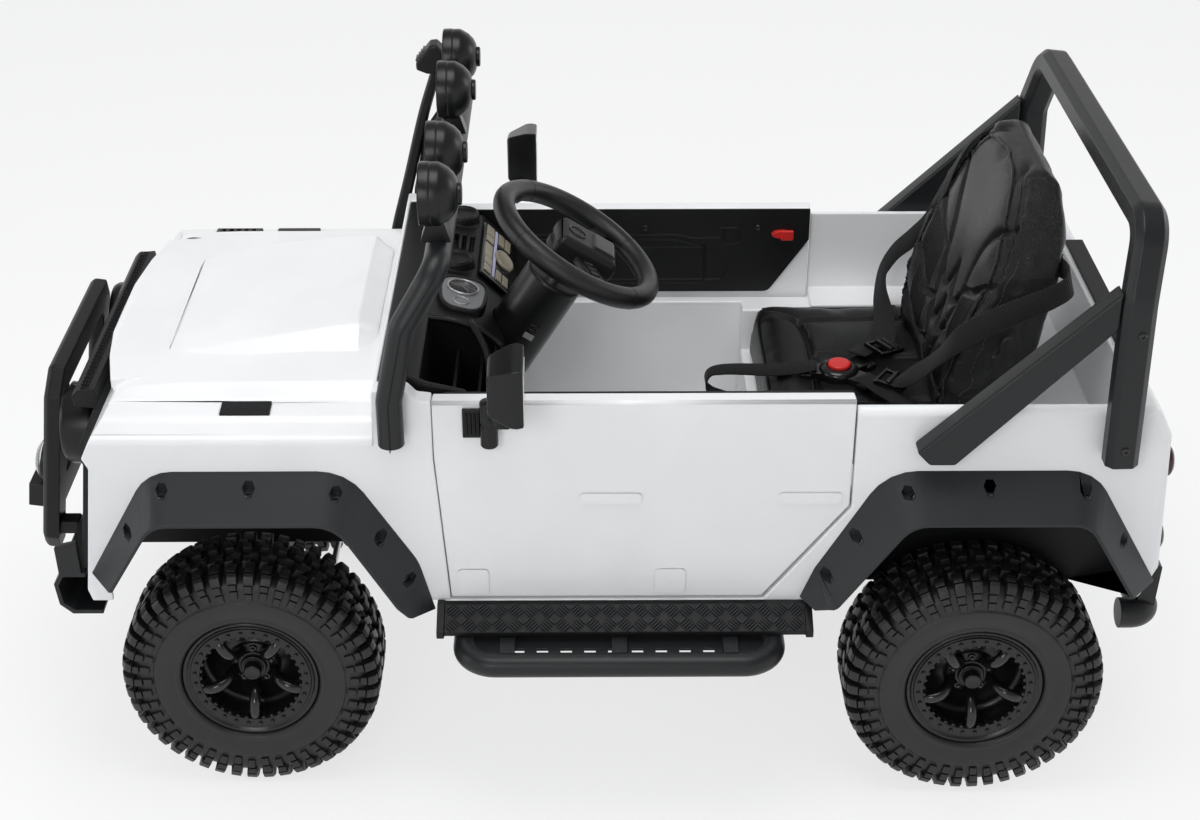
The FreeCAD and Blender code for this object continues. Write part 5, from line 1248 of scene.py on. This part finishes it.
def headlamp_glass():
    """Clear domed lens over a bright bowl in each headlamp."""
    glass = [(0.0330, -0.0075), (0.0335, -0.0060), (0.0300, -0.0025), (0.0200, 0.0000), (0.0100, 0.0010), (0, 0.0012)]
    bowl = [(0.0325, -0.0077), (0.0240, -0.0030), (0.0160, -0.0022), (0.0060, -0.0018), (0, -0.0018)]
    places = [facing_front(0.587 - SHIFT, hand * 0.127, 0.378) for hand in (1, -1)]
    lenses, bowls = (solid(name, finish, [(turned, outline, 56, place, False) for place in places])
                     for name, finish, outline in (("headlamp_lenses", "clear", glass),
                                                   ("headlamp_bowls", "reflector", bowl)))
    added(joined("headlamp_glass", lenses, bowls), "headlamps")


def step_chequer():
    """Raised chequer bars over the step strips: five short bars, then five across them. The bars are black like the
    plate; their lighter grey flare finish is a painted highlight.
    """
    pitch, bars = 0.033, []
    for number in range(-2, 3):
        across, half = number * 0.0030, 0.0072 - abs(number) * 0.0006
        bars.append((swept, [(-half, across, 0.0), (-half * 0.5, across, 0.0008), (0, across, 0.0010),
                             (half * 0.5, across, 0.0008), (half, across, 0.0)],
                     [0.0003, 0.0009, 0.0010, 0.0009, 0.0003], 6))
    for side, hand in SIDES:
        slope = Vector((0, hand * 0.028, -0.016)).normalized()
        normal = Vector((0, hand * 0.016, 0.028)).normalized()
        foot = Vector((0, hand * 0.258, 0.2305))
        for across in (0, 1):
            part = moved(small_part("chequer_bars", bars), turn(45 + 90 * across, "Z"))
            lines = []
            for row in range(2):
                odd = (row + across) % 2
                middle = foot + slope * (0.0078 + pitch / 2 * row) + normal * 0.0002
                first = -0.2290 + pitch / 2 * odd
                lines.append([middle + Vector((x, 0, 0)) for x in (first, first + pitch * (11 - odd))])
            # The black bars get the lighter grey flare finish as a painted highlight.
            added(along("step_chequer_%s_%d" % (side, across), part, lines, pitch, "flare", up=tuple(normal)),
                  "step_plates")


def vent_mesh():
    """Pierced mesh of the wing vents."""
    stud = [(0.0012, 0), (0.0012, 0.0004), (0.0008, 0.0008), (0, 0.0008)]
    fall = 3 / 29
    for side, hand in SIDES:
        lines = []
        for number in range(9):
            y = 0.2085 + number * 0.0024
            z = 0.4327 - (y - 0.2045) * fall
            lines.append([(x, hand * y, z) for x in (0.3195 + 0.0012 * (number % 2), 0.3655)])
        added(along("vent_mesh_" + side, small_part("mesh_stud", [(turned, stud, 6, turn(90, "X"), False)]), lines,
                    0.0028, "flare", ground=NODES["wing_vents"]), "wing_vents")


def trim_screws():
    """A screw in each pocket of the flares, and two on each leg of the roll hoop. Places in the source's mm."""
    front = [(212, 268), (240, 320), (283, 373), (372, 379), (461, 377), (500, 330)]
    rear = [(-534, 312), (-488, 374), (-388, 378), (-304, 372), (-254, 318), (-226, 270)]
    hoop = [(-516, 560), (-516, 430)]
    for name, node, places, y, head in (
            ("front_flares_screws", "front_flares", front, 0.2685, (0.0034, 0.0016, 12, 0.0016)),
            ("rear_flares_screws", "rear_flares", rear, 0.2685, (0.0034, 0.0016, 12, 0.0016)),
            ("hoop_screws", "roll_hoop", hoop, 0.286, (0.0046, 0.0018, 16, 0.0020))):
        lines = [[(x / 1000 - SHIFT, hand * y, z / 1000)] for hand in (1, -1) for x, z in places]
        added(along(name, screw_head("trim_screw", *head), lines, 0.0, "gloss", ground=NODES[node]), node)


def frame_seams():
    """The moulding seam of the windscreen frame's legs."""
    rows = [[(x - SHIFT, hand * y, z) for x, y, z in (
        (0.223, 0.279, 0.430), (0.223, 0.279, 0.482), (0.207, 0.273, 0.560), (0.174, 0.256, 0.610))]
        for hand in (1, -1)]
    added(along("windscreen_seams", rod_bit("frame_seam", 0.004, 0.0007, 6), rows, 0.007, "black",
                ground=NODES["windscreen_frame"]), "windscreen_frame")


def snorkel():
    """Flat raised intake on the right: a leaning bar with a wedge head that opens to the front."""
    low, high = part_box("snorkel")
    y = (low[1] + high[1]) / 2
    line = curved([(0.2290, y, 0.3985), (0.2262, y, 0.430), (0.2080, y, 0.500), (0.1880, y, 0.580),
                   (0.1720, y, 0.632), (0.1690, y, 0.650)], 5)
    rings = []
    for i, point in enumerate(line):
        across = heading(line, i).cross(Vector((0, 1, 0))).normalized()
        swell = 0.0080 - 0.0026 * i / len(line)
        rings.append([point + across * a * swell + Vector((0, b * 0.0092, 0)) for a, b in (
            (1, -0.55), (1, 0.55), (0.6, 1), (-0.6, 1), (-1, 0.55), (-1, -0.55), (-0.6, -1), (0.6, -1))])
    bar = solid("snorkel_bar", "black", [(loft, rings)], 0.0010, 2, 35.0)
    wide = min(0.0140, (high[1] - low[1]) / 2 - 0.001)
    shape = [(0.1605, 0.6380), (0.1610, 0.6660), (0.1680, 0.6730), (0.1760, 0.6720), (0.1930, 0.6500),
             (0.1925, 0.6420), (0.1800, 0.6370)]
    head = solid("snorkel_head", "black", [(loft, [
        [Vector((0.174 + (x - 0.174) * s, y + b, 0.655 + (z - 0.655) * s)) for x, z in shape]
        for b, s in ((-wide, 0.88), (-wide + 0.003, 1.0), (wide - 0.003, 1.0), (wide, 0.88))])], 0.0014)
    blocks = []
    for number in range(4):
        x, z = 0.1925 - number * 0.0036 * 0.77, 0.6525 + number * 0.0036
        blocks.append((block, (x - 0.004, y - wide + 0.004, z), (x + 0.0006, y + wide - 0.004, z + 0.0014)))
    fitted(joined("snorkel_dressed", bar, head, solid("snorkel_slats", "gloss", blocks)), "snorkel")


def grille_mesh():
    """Woven mesh behind the grille slots and along the top rail."""
    wave = [(-0.0040, 0, 0), (-0.0020, 0, 0.0010), (0, 0, 0), (0.0020, 0, -0.0010), (0.0040, 0, 0)]
    pitch = 0.0062

    def lean(z):
        """X of the grille's face at a height."""
        return 0.5515 - SHIFT + (0.394 - z) * 0.115

    heights = [0.288 + row * pitch for row in range(16)]
    columns = [-0.0806 + column * pitch for column in range(27)]
    rails = [(0.5555 - SHIFT - number * 0.003, 0.4450 - number * 0.0002) for number in range(3)]
    meshes = [along(name, small_part("wire_one", [(swept, wave, 0.0008, 6)]), lines, 0.008, finish, up=up)
              for name, lines, finish, up in (
                  ("grille_wires_across", [[(lean(z), y, z) for y in (-0.082, 0.082)] for z in heights],
                   "black", (1.0, 0.0, 0.0)),
                  ("grille_wires_upright", [[(lean(z), y, z) for z in (0.286, 0.384)] for y in columns],
                   "black", (1.0, 0.0, 0.0)),
                  ("grille_rail_mesh", [[(x, y, z) for y in (-0.164, 0.164)] for x, z in rails],
                   "satin", (0.3, 0.0, 1.0)))]
    added(joined("grille_mesh", *meshes), "grille_panel")


# The nodes that keep their own shape: their finish and the width of their rounded edges
FINISHES = {
    "arch_liners": ("black", 0.0006), "battery": ("case", 0.002), "belly_plate": ("chassis", 0.001),
    "body_tub": ("white", 0.0022), "bull_bar": ("black", 0.002), "dashboard": ("black", 0.002),
    "driving_lamps": ("satin", 0.001), "driving_lamp_lenses": ("clear", 0.0008), "foot_pedal": ("black", 0.002),
    "front_axle": ("chassis", 0.001), "front_bumper": ("tube", 0.001), "front_flares": ("flare", 0.001),
    "front_shell": ("white", 0.0018), "front_subframe": ("chassis", 0.001), "gearboxes": ("case", 0.002),
    "grille_panel": ("black", 0.001), "headlamps": ("satin", 0.001), "hoop_braces": ("tube", 0.003),
    "rear_axle": ("steel", 0.0004), "rear_bumper": ("tube", 0.0006), "rear_flares": ("flare", 0.001),
    "roll_hoop": ("tube", 0.001), "steering_shaft": ("steel", 0.0003), "step_plates": ("black", 0.0008),
    "step_tubes": ("tube", 0.0006), "tail_lamps": ("smoke", 0.0006), "tailgate_trim": ("black", 0.0008),
    "tie_rod": ("steel", 0.0003), "windscreen_frame": ("tube", 0.0006), "wing_vents": ("black", 0.0006),
}
for side, hand in SIDES:
    FINISHES["door_%s_skin" % side] = ("white", 0.0022)
    FINISHES["door_%s_panel" % side] = ("black", 0.0012)
    FINISHES["knuckle_" + side] = ("steel", 0.0005)


def arch_lining(tub):
    """Black lining on the tub's walls inside the rear wheel arches."""
    wall, outer, front, top = 0.192, 0.247, -0.20, 0.345
    tub.data.materials.append(MATERIALS["black"])
    for face in tub.data.polygons:
        x, y, z = face.center
        on_wall = abs(abs(y) - wall) < 0.0015
        on_roof = wall < abs(y) < outer and face.normal.z < -0.2
        if x < front and z < top and (on_wall or on_roof):
            face.material_index = 1


# Floor, light and the photograph's camera
def seen_rays(nodes):
    """1 for rays that see the backdrop: from the camera, off a glossy face or through a clear one."""
    path = nodes.tree.nodes.new("ShaderNodeLightPath")
    first, second, third = (Field(nodes, path.outputs[name]) for name in (
        "Is Camera Ray", "Is Glossy Ray", "Is Transmission Ray"))
    return (first + second + third).maths("MINIMUM", 1.0)


def studio():
    """A pale floor and backdrop, brighter where they are seen than where they light, and four softboxes."""
    bm = bmesh.new()
    bmesh.ops.create_grid(bm, x_segments=1, y_segments=1, size=9.0)
    floor = finish_mesh(bm, "studio_floor")
    floor.location.z = -0.0005
    s = Shader("pale_studio_floor")
    drift = s.noise(1.5, 2.0)
    s.set("Base Color", s.shade(drift, (0.86, 0.86, 0.86, 1), (0.89, 0.89, 0.89, 1)))
    s.set("Roughness", drift * 0.1 + 0.6)
    glow = s.add("ShaderNodeEmission", sockets={"Color": (1, 1, 1, 1), "Strength": 1.0})
    mixed = s.add("ShaderNodeMixShader", sockets={0: seen_rays(s) * 0.72})
    output = [n for n in s.tree.nodes if n.type == "OUTPUT_MATERIAL"][0]
    s.tree.links.new(s.surface.outputs[0], mixed.socket.node.inputs[1])
    s.tree.links.new(glow.socket, mixed.socket.node.inputs[2])
    s.tree.links.new(mixed.socket, output.inputs[0])
    floor.data.materials.append(s.material)

    world = bpy.data.worlds.new("studio_air")
    bpy.context.scene.world = world
    world.use_nodes = True
    air = Nodes()
    air.tree = world.node_tree
    air.tree.nodes.clear()
    room = air.add("ShaderNodeBackground", sockets={0: (0.95, 0.97, 1.0, 1), 1: 0.62})
    height = air.add("ShaderNodeSeparateXYZ", sockets={0: air.add("ShaderNodeTexCoord", output="Generated")},
                     output="Z")
    ceiling = air.add("ShaderNodeMapRange", {"interpolation_type": "SMOOTHSTEP"}, {
        "Value": height, "From Min": 0.05, "From Max": 0.6, "To Min": 1.0, "To Max": 0.30})
    backdrop = air.add("ShaderNodeBackground", sockets={0: (1, 1, 1, 1), 1: ceiling})
    mix = air.add("ShaderNodeMixShader", sockets={0: seen_rays(air), 1: room, 2: backdrop})
    air.tree.links.new(mix.socket, air.tree.nodes.new("ShaderNodeOutputWorld").inputs[0])

    for name, place, size, power in (
            ("overhead_softbox", (0.1, 0.3, 2.6), 1.3, 24.0),
            ("left_softbox", (0.7, 2.4, 1.6), 0.8, 13.0),
            ("nose_softbox", (2.4, 0.3, 1.1), 0.7, 6.5),
            ("tail_softbox", (-2.4, -0.8, 1.4), 0.8, 7.5)):
        light = bpy.data.lights.new(name, "AREA")
        light.shape = "SQUARE"
        light.size = size
        light.energy = power
        lamp = bpy.data.objects.new(name, light)
        lamp.location = place
        aim = Vector((0, 0, 0.3)) - Vector(place)
        lamp.rotation_euler = aim.to_track_quat("-Z", "Y").to_euler()
        bpy.context.scene.collection.objects.link(lamp)


def camera():
    """The photograph's camera."""
    data = bpy.data.cameras.new("photo_camera")
    data.sensor_fit = "HORIZONTAL"
    data.sensor_width = 36.0
    data.lens = 60.0
    data.clip_end = 50.0
    view = bpy.data.objects.new("photo_camera", data)
    pitch = math.radians(29.5)
    yaw = math.radians(0.37)
    aim = Vector((-math.sin(yaw) * math.cos(pitch), -math.cos(yaw) * math.cos(pitch), -math.sin(pitch)))
    view.location = (-0.0100, 2.0067, 1.4565)
    view.rotation_euler = aim.to_track_quat("-Z", "Y").to_euler()
    bpy.context.scene.collection.objects.link(view)
    bpy.context.scene.camera = view


wheels()
harness(seat_back(), seat_cushion())
steering_wheel()
column_cover()
mirrors()
roof_lamps()
snorkel()
for node, (material, width) in FINISHES.items():
    dressed = softened(node, material, width)
    if node == "body_tub":
        arch_lining(dressed)
vent_fins()
radio()
gauge()
bin_extras()
door_extras()
lamp_reflectors()
step_chequer()
vent_mesh()
trim_screws()
frame_seams()
grille_mesh()
headlamp_glass()
studio()
camera()
bpy.context.scene.view_settings.view_transform = "Standard"
